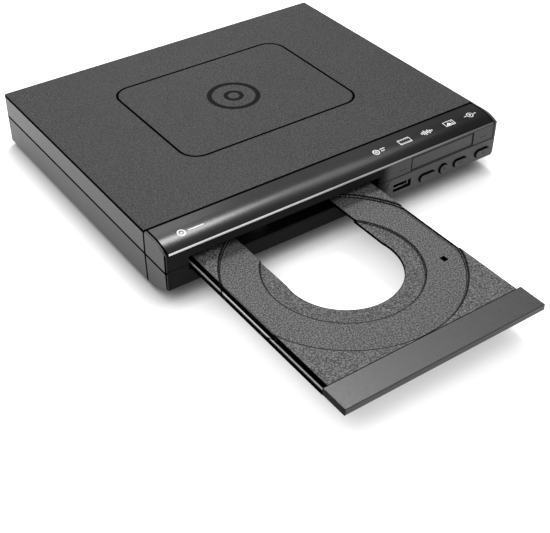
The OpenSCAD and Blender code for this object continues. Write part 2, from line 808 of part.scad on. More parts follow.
module loader_frame() color(charcoal) {
    opening_front = front_y + 44.25;
    ledge_top = tray_top - cover_h - 0.6 - slide_gap;
    difference() {
        union() {
            span([tray_x - loader_outer, loader_front, deck_z], [tray_x + loader_outer, loader_back, deck_z + deck_t]);
            for (s = [-1, 1]) mirror_at(s) {
                span([loader_inner, loader_front, deck_z], [loader_outer, loader_back, slot_top - 1.7]);
                span([flange_half - 2.5, loader_front, ledge_top - 2], [loader_inner + overlap, loader_back, ledge_top]);
                for (y = [[front_y + 22.25, front_y + 52.25], [10, 40]])
                    span([flange_half - 1.7, y[0], flange_top + slide_gap],
                         [loader_inner + overlap, y[1], flange_top + slide_gap + 1.5]);
                // stiffening ribs outside the opening
                for (y = [-36, -6, 24, 54])
                    span([opening_half + 4, y, deck_z + deck_t - overlap], [loader_inner + overlap, y + 1.5, deck_z + deck_t + 3]);
            }
            span([tray_x - loader_outer, loader_back - 2, deck_z], [tray_x + loader_outer, loader_back, deck_z + 7]);
            pin(drive_x, drive_y, 3, deck_z, gear_z - 0.3);
            pin(drive_x, drive_y, post_pin_r, deck_z, pinion_top);
            pin(belt_gear_x, drive_y, 3, deck_z, gear_z - 0.5);
            pin(belt_gear_x, drive_y, post_pin_r, deck_z, belt_z + 2.2);
            // rail in front of the cam slider's foot
            span([tray_x - 22, cam_front - 1.3, deck_z + deck_t - overlap], [tray_x + 22, cam_front - 0.3, deck_z + deck_t + 2]);
            // hinge ears for the pickup deck
            for (s = [-1, 1]) mirror_at(s) difference() {
                span([hinge_half + 0.3, hinge_y - 4, deck_z], [hinge_half + 4.3, hinge_y + 4, hinge_z + 3.6]);
                translate([hinge_half - 1, hinge_y, hinge_z]) rotate([0, 90, 0]) cylinder(r = hinge_r + bore_gap, h = 7);
            }
        }
        span([tray_x - opening_half, opening_front, deck_z - 1],
             [tray_x + opening_half, hinge_y + 4.5, deck_z + deck_t + overlap]);
        for (p = loader_seats) pin(p[0], p[1], screw_r + 0.1, deck_z - 1, deck_z + deck_t + 1);
        pin(motor_x, drive_y, 1.2, deck_z - 1, deck_z + deck_t + 1);
    }
}

// Copies for the left side about the tray's middle line; children use x from that line.
module mirror_at(s) {
    translate([tray_x, 0, 0]) mirror([s < 0 ? 1 : 0, 0, 0]) children();
}

motor_top = belt_z - 1;

module loading_motor() color(steel) {
    pin(motor_x, drive_y, 9.5, deck_z + deck_t, motor_top);
    pin(motor_x, drive_y, 3, motor_top - overlap, motor_top + 0.25);
    pin(motor_x, drive_y, 0.75, motor_top, belt_z + belt_h + 0.7);
}

module motor_pulley() color(ivory)
    difference() {
        union() {
            pin(motor_x, drive_y, motor_pulley_r, belt_z - 0.5, belt_z + belt_h + 0.5);
            pin(motor_x, drive_y, motor_pulley_r + 0.9, belt_z - 0.6, belt_z - 0.15);
            pin(motor_x, drive_y, motor_pulley_r + 0.9, belt_z + belt_h + 0.15, belt_z + belt_h + 0.6);
        }
        pin(motor_x, drive_y, 0.75 + bore_gap, belt_z - 2, belt_z + belt_h + 2);
    }

// The closed outline of the belt round both pulleys, grown by t.
module belt_outline(t) {
    a = groove_r + 0.08 + t;
    b = motor_pulley_r + 0.08 + t;
    d = motor_x - belt_gear_x;
    lean = acos((groove_r - motor_pulley_r) / d);
    translate([belt_gear_x, drive_y])
        polygon(concat(arc(0, 0, a, lean, 360 - lean, 30), arc(d, 0, b, -lean, lean, 16)));
}

module drive_belt() color(black)
    translate([0, 0, belt_z]) linear_extrude(belt_h) difference() {
        belt_outline(belt_t);
        belt_outline(0);
    }

module belt_pulley() color(ivory)
    difference() {
        union() {
            translate([belt_gear_x, drive_y, gear_z - 0.2]) linear_extrude(gear_t + 0.4)
                rotate(180 / small_teeth) spur_outline(gear_module, small_teeth);
            pin(belt_gear_x, drive_y, 3.2, gear_z, belt_z);
            pin(belt_gear_x, drive_y, groove_r, belt_z - 0.5, belt_z + belt_h + 0.5);
            pin(belt_gear_x, drive_y, pulley_r, belt_z - 0.6, belt_z - 0.15);
            pin(belt_gear_x, drive_y, pulley_r, belt_z + belt_h + 0.15, belt_z + belt_h + 0.6);
        }
        pin(belt_gear_x, drive_y, post_pin_r + bore_gap, 0, body_h);
    }

module drive_gear() color(ivory)
    difference() {
        union() {
            translate([drive_x, drive_y, gear_z]) linear_extrude(gear_t) spur_outline(gear_module, large_teeth);
            pin(drive_x, drive_y, 3.1, gear_z, pinion_z + overlap);
            translate([drive_x, drive_y, pinion_z]) linear_extrude(pinion_top - pinion_z)
                rotate(180 + 180 / pinion_teeth) spur_outline(rack_module, pinion_teeth);
        }
        pin(drive_x, drive_y, post_pin_r + bore_gap, 0, body_h);
    }

// ---- tray ----

flange_low = tray_top - cover_h - 0.6;
flange_t = 1.2;
flange_top = flange_low + flange_t;
seat_play = 0.15;
recess_r = disc_r + seat_play;
small_recess_r = small_disc_r + seat_play;
recess_z = tray_top - disc_step;
small_recess_z = recess_z - small_step;
cover_play = 0.15;
tongue_half = 40;
rack_low = flange_low;
rack_top = flange_low + 1.2;

// A disc recess with leaning walls, r wide on its floor.
module dish(r, low, high) {
    translate([0, disc_setback, low]) cylinder(r1 = r, r2 = r + dish_lean * (high - low), h = high - low);
}

// The rack's outline in tray coordinates: a strip with teeth towards the middle.
module rack_outline() {
    pitch = PI * rack_module;
    meet = drive_y - front_y + travel;
    first = ceil((20 - meet) / pitch);
    last = floor((tray_l - 2 - meet) / pitch);
    tip = rack_line + addendum_share * rack_module;
    root = rack_line - dedendum_share * rack_module;
    half = pitch / 4 - 0.04;
    lean = tan(20);
    polygon(concat([[-tray_wall_half - overlap, meet + (first - 0.5) * pitch]],
        [for (k = [first:last]) let (y = meet + k * pitch)
            each [[root, y - half - (rack_line - root) * lean], [tip, y - half + (tip - rack_line) * lean],
                  [tip, y + half - (tip - rack_line) * lean], [root, y + half + (rack_line - root) * lean]]],
        [[-tray_wall_half - overlap, meet + (last + 0.5) * pitch]]));
}

module disc_tray() color([0.45, 0.45, 0.45]) translate([tray_x, front_y - travel, 0]) {
    start = cover_d + cover_play;
    hole_x = 45.8;
    hole_y = disc_setback - 23.1;
    difference() {
        union() {
            intersection() {
                union() {
                    span([-plate_w / 2, start, tray_top - plate_t], [plate_w / 2, tray_l, tray_top]);
                    pin(0, disc_setback, recess_r + plate_t + 0.8, recess_z - plate_t, tray_top - overlap);
                    pin(0, disc_setback, small_recess_r + plate_t, small_recess_z - plate_t, recess_z);
                    span([hole_x - 3, hole_y - 3.3, recess_z - 3.2], [hole_x + 3, hole_y + 3.3, recess_z - overlap]);
                }
                span([-plate_w / 2, start, 0], [plate_w / 2, tray_l, body_h]);
            }
            for (s = [-1, 1]) mirror([s < 0 ? 1 : 0, 0, 0]) {
                span([tray_wall_half - 1.2, start, flange_low], [tray_wall_half, tray_l, tray_top - plate_t + overlap]);
                span([tray_wall_half - 1.2, start, flange_low], [flange_half, tray_l, flange_top]);
            }
            span([-tray_wall_half, start, flange_low], [tray_wall_half, start + 1.2, tray_top - plate_t + overlap]);
            span([-tray_wall_half, tray_l - 1.2, flange_top + 1.2], [tray_wall_half, tray_l, tray_top - plate_t + overlap]);
            span([-tongue_half, cover_d - 6, tray_top - 2.7], [tongue_half, start + 1, tray_top - 1.3]);
            translate([0, 0, rack_low]) linear_extrude(rack_top - rack_low) rack_outline();
        }
        dish(recess_r, recess_z, tray_top + 0.5);
        dish(small_recess_r, small_recess_z, recess_z + 0.2);
        pin(0, disc_setback, cutout_r, 0, body_h);
        span([-cutout_r + 0.5, disc_setback, 0], [cutout_r - 0.5, tray_l - 10, body_h]);
        span([hole_x - 1.5, hole_y - 1.8, 0], [hole_x + 1.5, hole_y + 1.8, body_h]);
        // oil groove along each flange
        for (s = [-1, 1]) mirror([s < 0 ? 1 : 0, 0, 0])
            span([flange_half - 1.3, 0, flange_top - 0.7], [flange_half - 0.4, tray_l + 1, flange_top + 0.1]);
    }
}

module tray_cover() color([0.5, 0.5, 0.5]) translate([tray_x, front_y - travel, 0]) {
    low = tray_top - cover_h;
    top_r = 0.4;
    low_r = 0.8;
    difference() {
        along_x(-cover_w / 2, cover_w / 2) polygon(concat([[cover_d, low], [cover_d, tray_top]],
            arc(top_r, tray_top - top_r, top_r, 90, 180, 4), arc(low_r, low + low_r, low_r, 180, 270, 4)));
        span([-tongue_half - cover_play, cover_d - 6.2, tray_top - 2.85],
             [tongue_half + cover_play, cover_d + 1, tray_top - 1.15]);
    }
}

// ---- pickup deck ----

hinge_y = spindle_y + 77;
hinge_half = 31;
hinge_r = 2;
opening_half = 31.5;
deck_half = 29;
deck_front = spindle_y - 27;
plate_low = hinge_z - 0.9;
plate_high = plate_low + 1.8;
rod_r = 1.5;
rod_z = plate_low - 0.4;
rod_left = -19.5;
rod_right = 15.5;
screw_x = 21.5;
lead_r = 1.4;
slot_left = -23;
slot_right = 25;
slot_near = spindle_y + 15.5;
slot_far = spindle_y + 36 + pickup_travel;
lens_y = spindle_y + 24;
cam_pin_r = 1.3;
cam_pin_z = hinge_z + 1.7;
cam_plate_y = deck_front - 3.35;
cam_plate_t = 2;
cam_front = front_y + 39.25;

// Takes parts drawn with the deck up, x from the tray's middle line, to the lowered pose.
module lowered() {
    translate([tray_x, hinge_y, hinge_z]) rotate([drop_angle, 0, 0]) translate([0, -hinge_y, -hinge_z]) children();
}

module traverse_frame() color(mid_grey) lowered() {
    rib_t = 1.4;
    rear = hinge_y + 4;
    difference() {
        union() {
            span([-deck_half, deck_front, plate_low], [deck_half, rear, plate_high]);
            for (s = [-1, 1]) mirror([s < 0 ? 1 : 0, 0, 0])
                span([deck_half - rib_t, deck_front, plate_low], [deck_half, rear, plate_high + 1.6]);
            span([-deck_half, deck_front, plate_low], [deck_half, deck_front + rib_t, plate_high + 2]);
            rod(0, cam_pin_z, cam_pin_r, deck_front - 3.2, deck_front + overlap);
            for (x = [rod_left, rod_right], y = [slot_near - 3, slot_far])
                span([x - 2.6, y, rod_z - 2.4], [x + 2.6, y + 3, plate_high]);
            span([screw_x - 3.4, slot_near - 3, rod_z - 2.4], [screw_x + 3.4, slot_near, plate_high]);
            span([screw_x - 5, slot_far, rod_z - 2.4], [screw_x + 5, slot_far + 1.2, plate_high + 2]);
            for (s = [-1, 1]) mirror([s < 0 ? 1 : 0, 0, 0]) translate([deck_half - rib_t, hinge_y, hinge_z])
                rotate([0, 90, 0]) {
                    cylinder(r = 3.4, h = hinge_half - deck_half + rib_t);
                    cylinder(r = hinge_r, h = hinge_half - deck_half + rib_t + 4);
                }
            pin(0, spindle_y, 13.5, plate_low, plate_high + 0.6);
        }
        span([slot_left, slot_near, plate_low - 1], [slot_right, slot_far, plate_high + 1]);
        for (x = [rod_left, rod_right]) rod(x, rod_z, rod_r + 0.02, slot_near - 2.5, slot_far + 2.5);
        rod(screw_x, rod_z, lead_r + bore_gap, slot_near - 2.5, slot_far + 5);
        span([screw_x - 4.8, slot_far + 1.2, 0], [screw_x + 4.8, rear + 1, body_h]);
        pin(0, spindle_y, 12.05, plate_high, body_h);
    }
}

module spindle_motor() color(steel) lowered() {
    pin(0, spindle_y, 12, plate_high, plate_high + 4.8);
    pin(0, spindle_y, 3, plate_high + 4.7, plate_high + 5.1);
    pin(0, spindle_y, 1, plate_high + 4.8, plate_high + 7.4);
}

turntable_z = plate_high + 5.3;

module turntable() color(black) lowered()
    difference() {
        union() {
            pin(0, spindle_y, turntable_r, turntable_z, turntable_z + 2.5);
            translate([0, spindle_y, turntable_z + 2.5 - overlap]) rotate_extrude()
                polygon(concat([[0, 0], [hub_r, 0]], arc(hub_r - 1.6, 0.5, 1.6, 0, 90, 6), [[0, 2.1]]));
        }
        pin(0, spindle_y, 1 + bore_gap, turntable_z - 1, turntable_z + 2.3);
    }

module guide_rods() color(steel) lowered()
    for (x = [rod_left, rod_right]) rod(x, rod_z, rod_r, slot_near - 2.4, slot_far + 2.4);

module lead_screw() color(steel) lowered()
    rod(screw_x, rod_z, lead_r, slot_near - 2.4, slot_far + 1.4);

module sled_motor() color(steel) lowered()
    rod(screw_x, rod_z + 0.3, 4.4, slot_far + 1.45, slot_far + 10.5);

module pickup_sled() color(mid_grey) lowered()
    difference() {
        union() {
            span([slot_left + 0.6, lens_y - 8, rod_z - 2.2], [slot_right - 0.4, lens_y + 11, rod_z + 2.2]);
            span([-13, lens_y - 7, rod_z], [11, lens_y + 10, plate_high + 1.6]);
            span([-5.5, lens_y - 6, plate_high], [5.5, lens_y + 6, plate_high + 4.4]);
        }
        for (x = [rod_left, rod_right]) rod(x, rod_z, rod_r + bore_gap, lens_y - 9, lens_y + 12);
        rod(screw_x, rod_z, lead_r + bore_gap, lens_y - 9, lens_y + 12);
        // relief between the two bearing blocks of each rod
        for (x = [rod_left, rod_right])
            span([x - 2.2, lens_y - 3, rod_z - 3], [x + 2.2, lens_y + 6, rod_z + 3]);
    }

module objective_lens() color([0.35, 0.55, 0.75]) lowered()
    translate([0, lens_y, plate_high + 4.4]) {
        cylinder(r = 2.6, h = 0.4);
        intersection() {
            translate([0, 0, -2.6]) sphere(3.6);
            cylinder(r = 2.3, h = 3);
        }
    }

// Height of the cam pin when the deck is lowered by angle a.
function cam_height(a) =
    hinge_z + (cam_plate_y - hinge_y + 1) * sin(a) + (cam_pin_z - hinge_z) * cos(a);

module cam_slider() color(ivory) {
    rise = cam_height(0) - cam_height(drop_angle);
    mid_z = (cam_height(0) + cam_height(drop_angle)) / 2;
    low = wall + 0.4;
    foot_z = deck_z + deck_t + 0.3;
    difference() {
        span([tray_x - cam_stroke - 6, cam_plate_y, low],
             [tray_x + 6, cam_plate_y + cam_plate_t, cam_pin_z + 2.3]);
        along_y(cam_plate_y - 1, cam_plate_y + cam_plate_t + 1)
            translate([tray_x - cam_stroke / 2, mid_z]) rotate(-atan(rise / cam_stroke))
                stadium(norm([rise, cam_stroke]) + 2 * cam_pin_r + 0.8, 2 * cam_pin_r + 0.7);
    }
    difference() {
        span([tray_x - cam_stroke - 6, cam_front, foot_z], [tray_x + 6, cam_plate_y + overlap, foot_z + 1.2]);
        for (x = [-cam_stroke - 1, 1]) pin(tray_x + x, cam_front + 3, 1.4, 0, body_h);
    }
}

// ---- disc clamp ----

puck_z = turntable_z + 2.5 + 1.6;
bridge_z = puck_z + 3.6;
bridge_t = 1.2;

module clamp_bridge() color(steel)
    difference() {
        union() {
            span([tray_x - loader_outer, spindle_y - 12, bridge_z], [tray_x + loader_outer, spindle_y + 12, bridge_z + bridge_t]);
            for (s = [-1, 1]) mirror_at(s)
                span([loader_inner, spindle_y - 12, slot_top - 1.7], [loader_outer, spindle_y + 12, bridge_z + overlap]);
            for (y = [spindle_y - 12, spindle_y + 10.8])
                span([tray_x - loader_inner, y, bridge_z - 1], [tray_x + loader_inner, y + 1.2, bridge_z + overlap]);
        }
        pin(tray_x, spindle_y, 7.2, 0, body_h);
    }

module clamp_puck() color(ivory)
    difference() {
        union() {
            pin(tray_x, spindle_y, 13.6, puck_z, puck_z + 2.1);
            pin(tray_x, spindle_y, 6.8, puck_z + 2, bridge_z + bridge_t + 0.3);
            pin(tray_x, spindle_y, 9.4, bridge_z + bridge_t + 0.2, bridge_z + bridge_t + 1.4);
        }
        pin(tray_x, spindle_y, hub_r + 0.7, puck_z - 1, puck_z + 1);
    }

base_pan();
top_cover();
rear_panel();
upper_fascia();
lower_fascia();
visor();
display_window();
rubber_feet();
case_screws();
loader_screws();
main_board();
main_board_parts();
power_board();
power_parts();
av_board();
video_jack();
left_jack();
right_jack();
mains_inlet();
inlet_pins();
usb_shell();
usb_tongue();
front_board();
tact_switches();
display_module();
ir_receiver();
power_button();
stop_button();
play_button();
open_button();
loader_frame();
loading_motor();
motor_pulley();
drive_belt();
belt_pulley();
drive_gear();
cam_slider();
disc_tray();
tray_cover();
traverse_frame();
spindle_motor();
turntable();
guide_rods();
lead_screw();
pickup_sled();
objective_lens();
sled_motor();
clamp_bridge();
clamp_puck();
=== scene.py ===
"""Looks for the compact disc player: finishes, prints, floor, light and camera round its frame."""
import math

import bmesh
import bpy
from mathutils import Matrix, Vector


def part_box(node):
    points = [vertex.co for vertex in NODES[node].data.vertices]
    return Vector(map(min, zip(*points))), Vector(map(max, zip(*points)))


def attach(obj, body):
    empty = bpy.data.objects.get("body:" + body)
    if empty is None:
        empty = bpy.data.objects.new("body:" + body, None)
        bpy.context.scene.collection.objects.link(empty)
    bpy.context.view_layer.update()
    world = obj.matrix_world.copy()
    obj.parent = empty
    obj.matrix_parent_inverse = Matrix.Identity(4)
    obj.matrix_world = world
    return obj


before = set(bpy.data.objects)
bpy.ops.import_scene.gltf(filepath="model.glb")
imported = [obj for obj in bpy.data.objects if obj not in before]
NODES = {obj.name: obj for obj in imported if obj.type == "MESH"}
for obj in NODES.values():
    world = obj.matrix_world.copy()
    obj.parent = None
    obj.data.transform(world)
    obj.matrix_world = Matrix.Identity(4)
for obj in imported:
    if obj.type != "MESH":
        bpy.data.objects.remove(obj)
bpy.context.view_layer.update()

MM = 0.001
FAR = 1.0                 # farther out than any piece
IMAGE_W, IMAGE_H = 550, 533

# ---------------------------------------------------------------- places, from the frame

cover_low, cover_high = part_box("top_cover")
visor_low, visor_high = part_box("visor")
lower_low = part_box("lower_fascia")[0]
feet_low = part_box("rubber_feet")[0]
tray_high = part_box("disc_tray")[1]
lip_low, lip_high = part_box("tray_cover")
window_low, window_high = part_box("display_window")
button_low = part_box("play_button")[0]
socket_low, socket_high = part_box("usb_shell")
board_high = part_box("main_board")[1]

TOP_Z = cover_high.z
FRONT_Y = lower_low.y
HALF_W = cover_high.x
SEAM_Y = cover_low.y
SEAM_Z = cover_low.z
SEAM_GAP = 0.5 * MM       # between the upper and the lower half, and behind the fascia
FLOOR_Z = feet_low.z
TRAY_X = (lip_low.x + lip_high.x) / 2
TRAY_TOP = tray_high.z
DISC_Y = lip_low.y + 77.4 * MM
FACE_INSET = 0.4 * MM     # the fascia's flat face lies this far behind its front edge


# ---------------------------------------------------------------- node helpers

def new_material(name):
    """An empty material with a Principled shader wired to its output."""
    material = bpy.data.materials.new(name)
    material.use_nodes = True
    tree = material.node_tree
    tree.nodes.clear()
    out = tree.nodes.new("ShaderNodeOutputMaterial")
    shader = tree.nodes.new("ShaderNodeBsdfPrincipled")
    tree.links.new(shader.outputs["BSDF"], out.inputs["Surface"])
    return material, tree, shader


def add(tree, kind, **settings):
    node = tree.nodes.new(kind)
    for key, value in settings.items():
        setattr(node, key, value)
    return node


def feed(tree, socket, value):
    """Links a socket to another one, or sets its number, vector or colour."""
    if isinstance(value, (int, float)):
        socket.default_value = value
    elif isinstance(value, tuple):
        missing = len(socket.default_value) - len(value)
        socket.default_value = (*value, *(1,) * missing)
    else:
        tree.links.new(value, socket)


def math_node(tree, operation, a, b=0.0):
    node = add(tree, "ShaderNodeMath", operation=operation)
    for socket, value in zip(node.inputs, (a, b)):
        feed(tree, socket, value)
    return node.outputs[0]


def vector_node(tree, operation, a, b=None):
    node = add(tree, "ShaderNodeVectorMath", operation=operation)
    for socket, value in zip(node.inputs, (a, b)):
        if value is not None:
            feed(tree, socket, value)
    return node.outputs["Value" if operation in ("LENGTH", "DISTANCE") else "Vector"]


def scaled(tree, vector, factor):
    node = add(tree, "ShaderNodeVectorMath", operation="SCALE")
    tree.links.new(vector, node.inputs[0])
    tree.links.new(factor, node.inputs["Scale"])
    return node.outputs[0]


def mix_colour(tree, factor, a, b):
    node = add(tree, "ShaderNodeMix", data_type="RGBA", blend_type="MIX")
    for index, value in ((0, factor), (6, a), (7, b)):
        feed(tree, node.inputs[index], value)
    return node.outputs[2]


def object_point(tree):
    return add(tree, "ShaderNodeTexCoord").outputs["Object"]


def noise(tree, scale, **settings):
    """Noise in object space, with its scale a number or a socket."""
    node = add(tree, "ShaderNodeTexNoise")
    feed(tree, node.inputs["Scale"], scale)
    for label, value in settings.items():
        node.inputs[label].default_value = value
    tree.links.new(object_point(tree), node.inputs["Vector"])
    return node.outputs["Fac"]


def smooth_step(tree, value, edge, soft, before=0, after=1):
    """Turns from one number to another where the value passes an edge."""
    node = add(tree, "ShaderNodeMapRange", interpolation_type="SMOOTHSTEP")
    tree.links.new(value, node.inputs["Value"])
    for label, number in (("From Min", edge - soft), ("From Max", edge + soft),
                          ("To Min", before), ("To Max", after)):
        node.inputs[label].default_value = number
    return node.outputs["Result"]


def add_bump(tree, shader, height, strength, distance):
    node = add(tree, "ShaderNodeBump")
    node.inputs["Strength"].default_value = strength
    node.inputs["Distance"].default_value = distance
    tree.links.new(height, node.inputs["Height"])
    tree.links.new(node.outputs["Normal"], shader.inputs["Normal"])


def seen_rays(tree):
    """1 for the rays that a viewer sees the background by, straight, mirrored or through glass."""
    path = add(tree, "ShaderNodeLightPath")
    seen = math_node(tree, "MAXIMUM", path.outputs["Is Camera Ray"], path.outputs["Is Glossy Ray"])
    return math_node(tree, "MAXIMUM", seen, path.outputs["Is Transmission Ray"])


def srgb(value):
    """An sRGB grey from 0 to 255, or three of them, as a linear colour."""
    values = (value,) * 3 if isinstance(value, (int, float)) else value
    linear = []
    for v in values:
        v = v / 255
        linear.append(v / 12.92 if v <= 0.04045 else ((v + 0.055) / 1.055) ** 2.4)
    return tuple(linear)


# ---------------------------------------------------------------- shared effects

COLOUR, VALUE = "NodeSocketColor", "NodeSocketFloat"


def start_group(name, inputs, outputs):
    group = bpy.data.node_groups.new(name, "ShaderNodeTree")
    for label, kind, default in inputs:
        socket = group.interface.new_socket(label, in_out="INPUT", socket_type=kind)
        socket.default_value = default
    for label, kind in outputs:
        group.interface.new_socket(label, in_out="OUTPUT", socket_type=kind)
    return group, add(group, "NodeGroupInput"), add(group, "NodeGroupOutput")


def make_grain_group():
    """Spark-eroded grain: a mottled colour, a roughness and a height, all from object space."""
    middle = 0.5
    cloud_scale, cloud_share = 25, 0.25
    full_swing, darkest = 4.0, 0.25
    rough_share = 0.25
    group, given, out = start_group(
        "moulded grain",
        [("Colour", COLOUR, (0.1, 0.1, 0.1, 1)), ("Pits per metre", VALUE, 1500),
         ("Contrast", VALUE, 0.3), ("Roughness", VALUE, 0.6)],
        [("Colour", COLOUR), ("Roughness", VALUE), ("Height", VALUE)])
    pits = noise(group, given.outputs["Pits per metre"], Detail=1, Roughness=0.6)
    broad = noise(group, cloud_scale, Detail=2)
    grain = math_node(group, "SUBTRACT", pits, middle)
    cloud = math_node(group, "SUBTRACT", broad, middle)
    cloud = math_node(group, "MULTIPLY", cloud, cloud_share)
    swing = math_node(group, "MULTIPLY", grain, given.outputs["Contrast"])
    swing = math_node(group, "MULTIPLY", swing, full_swing)
    tone = math_node(group, "ADD", 1.0, math_node(group, "ADD", swing, cloud))
    tone = math_node(group, "MAXIMUM", tone, darkest)
    rough = math_node(group, "ADD", given.outputs["Roughness"],
                      math_node(group, "MULTIPLY", grain, rough_share))
    group.links.new(scaled(group, given.outputs["Colour"], tone), out.inputs["Colour"])
    group.links.new(rough, out.inputs["Roughness"])
    group.links.new(pits, out.inputs["Height"])
    return group


def make_handling_group():
    """Light dust in the broad and faint rub marks: a mask from 0 to 1."""
    clean, dirty = 0.45, 0.75
    patch_scale = 60
    group, given, out = start_group("handling", [("Amount", VALUE, 0.5)], [("Mask", VALUE)])
    ramp = add(group, "ShaderNodeMapRange")
    ramp.inputs["From Min"].default_value = clean
    ramp.inputs["From Max"].default_value = dirty
    group.links.new(noise(group, patch_scale, Detail=5), ramp.inputs["Value"])
    mask = math_node(group, "MULTIPLY", ramp.outputs["Result"], given.outputs["Amount"])
    group.links.new(mask, out.inputs["Mask"])
    return group


GRAIN = make_grain_group()
HANDLING = make_handling_group()


def place_group(tree, group, **values):
    node = add(tree, "ShaderNodeGroup", node_tree=group)
    for label, value in values.items():
        node.inputs[label.replace("_", " ")].default_value = value
    return node


def dust(tree, amount):
    return place_group(tree, HANDLING, Amount=amount).outputs["Mask"]


# ---------------------------------------------------------------- masks

EDGE = 0.15 * MM          # half the width over which a mask fades
THIN = 0.06 * MM          # the same for hairlines


def band(tree, axis, low, high, soft=EDGE):
    """A mask that is 1 where the object-space coordinate lies between low and high."""
    split = add(tree, "ShaderNodeSeparateXYZ")
    tree.links.new(object_point(tree), split.inputs[0])
    value = split.outputs[axis.upper()]
    rise = smooth_step(tree, value, low, soft)
    fall = smooth_step(tree, value, high, soft, 1, 0)
    return math_node(tree, "MULTIPLY", rise, fall)


def in_box(tree, limits, soft):
    """A mask that is 1 inside every one of the (axis, low, high) limits."""
    mask = 1.0
    for axis, low, high in limits:
        mask = math_node(tree, "MULTIPLY", band(tree, axis, low, high, soft), mask)
    return mask


def ring(tree, x, y, inner, outer, soft=0.12 * MM):
    """A mask that is 1 between two radii round a place on the plan."""
    flat = vector_node(tree, "MULTIPLY", object_point(tree), (1, 1, 0))
    away = vector_node(tree, "DISTANCE", flat, (x, y, 0))
    return math_node(tree, "SUBTRACT", smooth_step(tree, away, inner, soft),
                     smooth_step(tree, away, outer, soft))


def rounded_line(tree, centre, half_size, radius, half_width, soft):
    """A mask along a rounded rectangle drawn on the plan."""
    away = vector_node(tree, "SUBTRACT", object_point(tree), (*centre, 0.0))
    away = vector_node(tree, "ABSOLUTE", away)
    core = (half_size[0] - radius, half_size[1] - radius, FAR)
    away = vector_node(tree, "SUBTRACT", away, core)
    away = vector_node(tree, "MAXIMUM", away, (0.0, 0.0, 0.0))
    off = math_node(tree, "SUBTRACT", vector_node(tree, "LENGTH", away), radius)
    return smooth_step(tree, math_node(tree, "ABSOLUTE", off), half_width, soft, 1, 0)


def boxed(*limits, soft=EDGE):
    """A mask maker for a box."""
    return lambda tree: in_box(tree, limits, soft)


def part_of(make_mask, share):
    """A mask maker for a share of another mask."""
    return lambda tree: math_node(tree, "MULTIPLY", make_mask(tree), share)


def both(first, second):
    """A mask maker for the place where two others meet."""
    return lambda tree: math_node(tree, "MULTIPLY", first(tree), second(tree))


SIDE_SKIN = 0.7 * MM


def side_wall(tree):
    """A mask for both outer side walls."""
    inside = HALF_W - SIDE_SKIN
    return math_node(tree, "SUBTRACT", 1.0, band(tree, "x", -inside, inside))


DULL_BELOW = 40           # gaps, shade and dark prints up to this tone lose their sheen


def painted(*layers):
    """A tweak that lays each (mask maker, tone) over a paint, the dark ones without sheen."""
    def tweak(tree, shader, paint):
        sheen = shader.inputs["Specular IOR Level"].default_value
        for make_mask, tone in layers:
            mask = make_mask(tree)
            paint = mix_colour(tree, mask, paint, srgb(tone))
            if tone <= DULL_BELOW:
                rest = math_node(tree, "SUBTRACT", 1.0, mask)
                sheen = math_node(tree, "MULTIPLY", rest, sheen)
        if not isinstance(sheen, float):
            tree.links.new(sheen, shader.inputs["Specular IOR Level"])
        return paint
    return tweak


# ---------------------------------------------------------------- kinds of finish

def paint_shader(tree, shader, paint, tweak):
    """Gives a shader its colour, with what a tweak paints over it."""
    if tweak:
        paint = tweak(tree, shader, paint)
    tree.links.new(paint, shader.inputs["Base Color"])


def grained_plastic(name, tone, contrast=0.3, pits=1500, roughness=0.6, bump=0.15, shine=0.3,
                    tweak=None):
    """Moulded plastic with a fine spark-eroded grain."""
    pit_depth = 0.06 * MM
    dust_amount, dust_gain, dust_lift = 0.12, 1.5, 0.01
    material, tree, shader = new_material(name)
    shader.inputs["Specular IOR Level"].default_value = shine
    colour = srgb(tone)
    grain = place_group(tree, GRAIN, Colour=(*colour, 1), Pits_per_metre=pits, Contrast=contrast,
                        Roughness=roughness)
    dusty = tuple(min(1.0, c * dust_gain + dust_lift) for c in colour)
    paint = mix_colour(tree, dust(tree, dust_amount), grain.outputs["Colour"], dusty)
    paint_shader(tree, shader, paint, tweak)
    tree.links.new(grain.outputs["Roughness"], shader.inputs["Roughness"])
    add_bump(tree, shader, grain.outputs["Height"], bump, pit_depth)
    return material


def gloss_plastic(name, tone, roughness=0.08, shine=0.5, tweak=None):
    """Polished plastic with faint polishing waves."""
    dust_amount, dust_lift = 0.05, 0.01
    wave_scale, wave_share = 90, 0.04
    material, tree, shader = new_material(name)
    shader.inputs["Specular IOR Level"].default_value = shine
    colour = srgb(tone)
    dusty = tuple(c + dust_lift for c in colour)
    paint = mix_colour(tree, dust(tree, dust_amount), colour, dusty)
    paint_shader(tree, shader, paint, tweak)
    waves = math_node(tree, "MULTIPLY", noise(tree, wave_scale), wave_share)
    tree.links.new(math_node(tree, "ADD", roughness, waves), shader.inputs["Roughness"])
    return material


def brushed_metal(name, tone, roughness=0.3, stretch=(40, 900, 900), tweak=None):
    """Rolled or turned metal with fine drawn lines."""
    darker, lighter = 0.8, 1.1
    rough_drop, rough_share = 0.08, 0.16
    material, tree, shader = new_material(name)
    mapping = add(tree, "ShaderNodeMapping")
    mapping.inputs["Scale"].default_value = stretch
    tree.links.new(object_point(tree), mapping.inputs["Vector"])
    lines = add(tree, "ShaderNodeTexNoise")
    lines.inputs["Scale"].default_value = 1
    lines.inputs["Detail"].default_value = 4
    tree.links.new(mapping.outputs["Vector"], lines.inputs["Vector"])
    colour = srgb(tone)
    paint = mix_colour(tree, lines.outputs["Fac"], tuple(c * darker for c in colour),
                       tuple(min(1, c * lighter) for c in colour))
    paint_shader(tree, shader, paint, tweak)
    drawn = math_node(tree, "MULTIPLY", lines.outputs["Fac"], rough_share)
    rough = math_node(tree, "ADD", roughness - rough_drop, drawn)
    tree.links.new(rough, shader.inputs["Roughness"])
    shader.inputs["Metallic"].default_value = 1
    return material


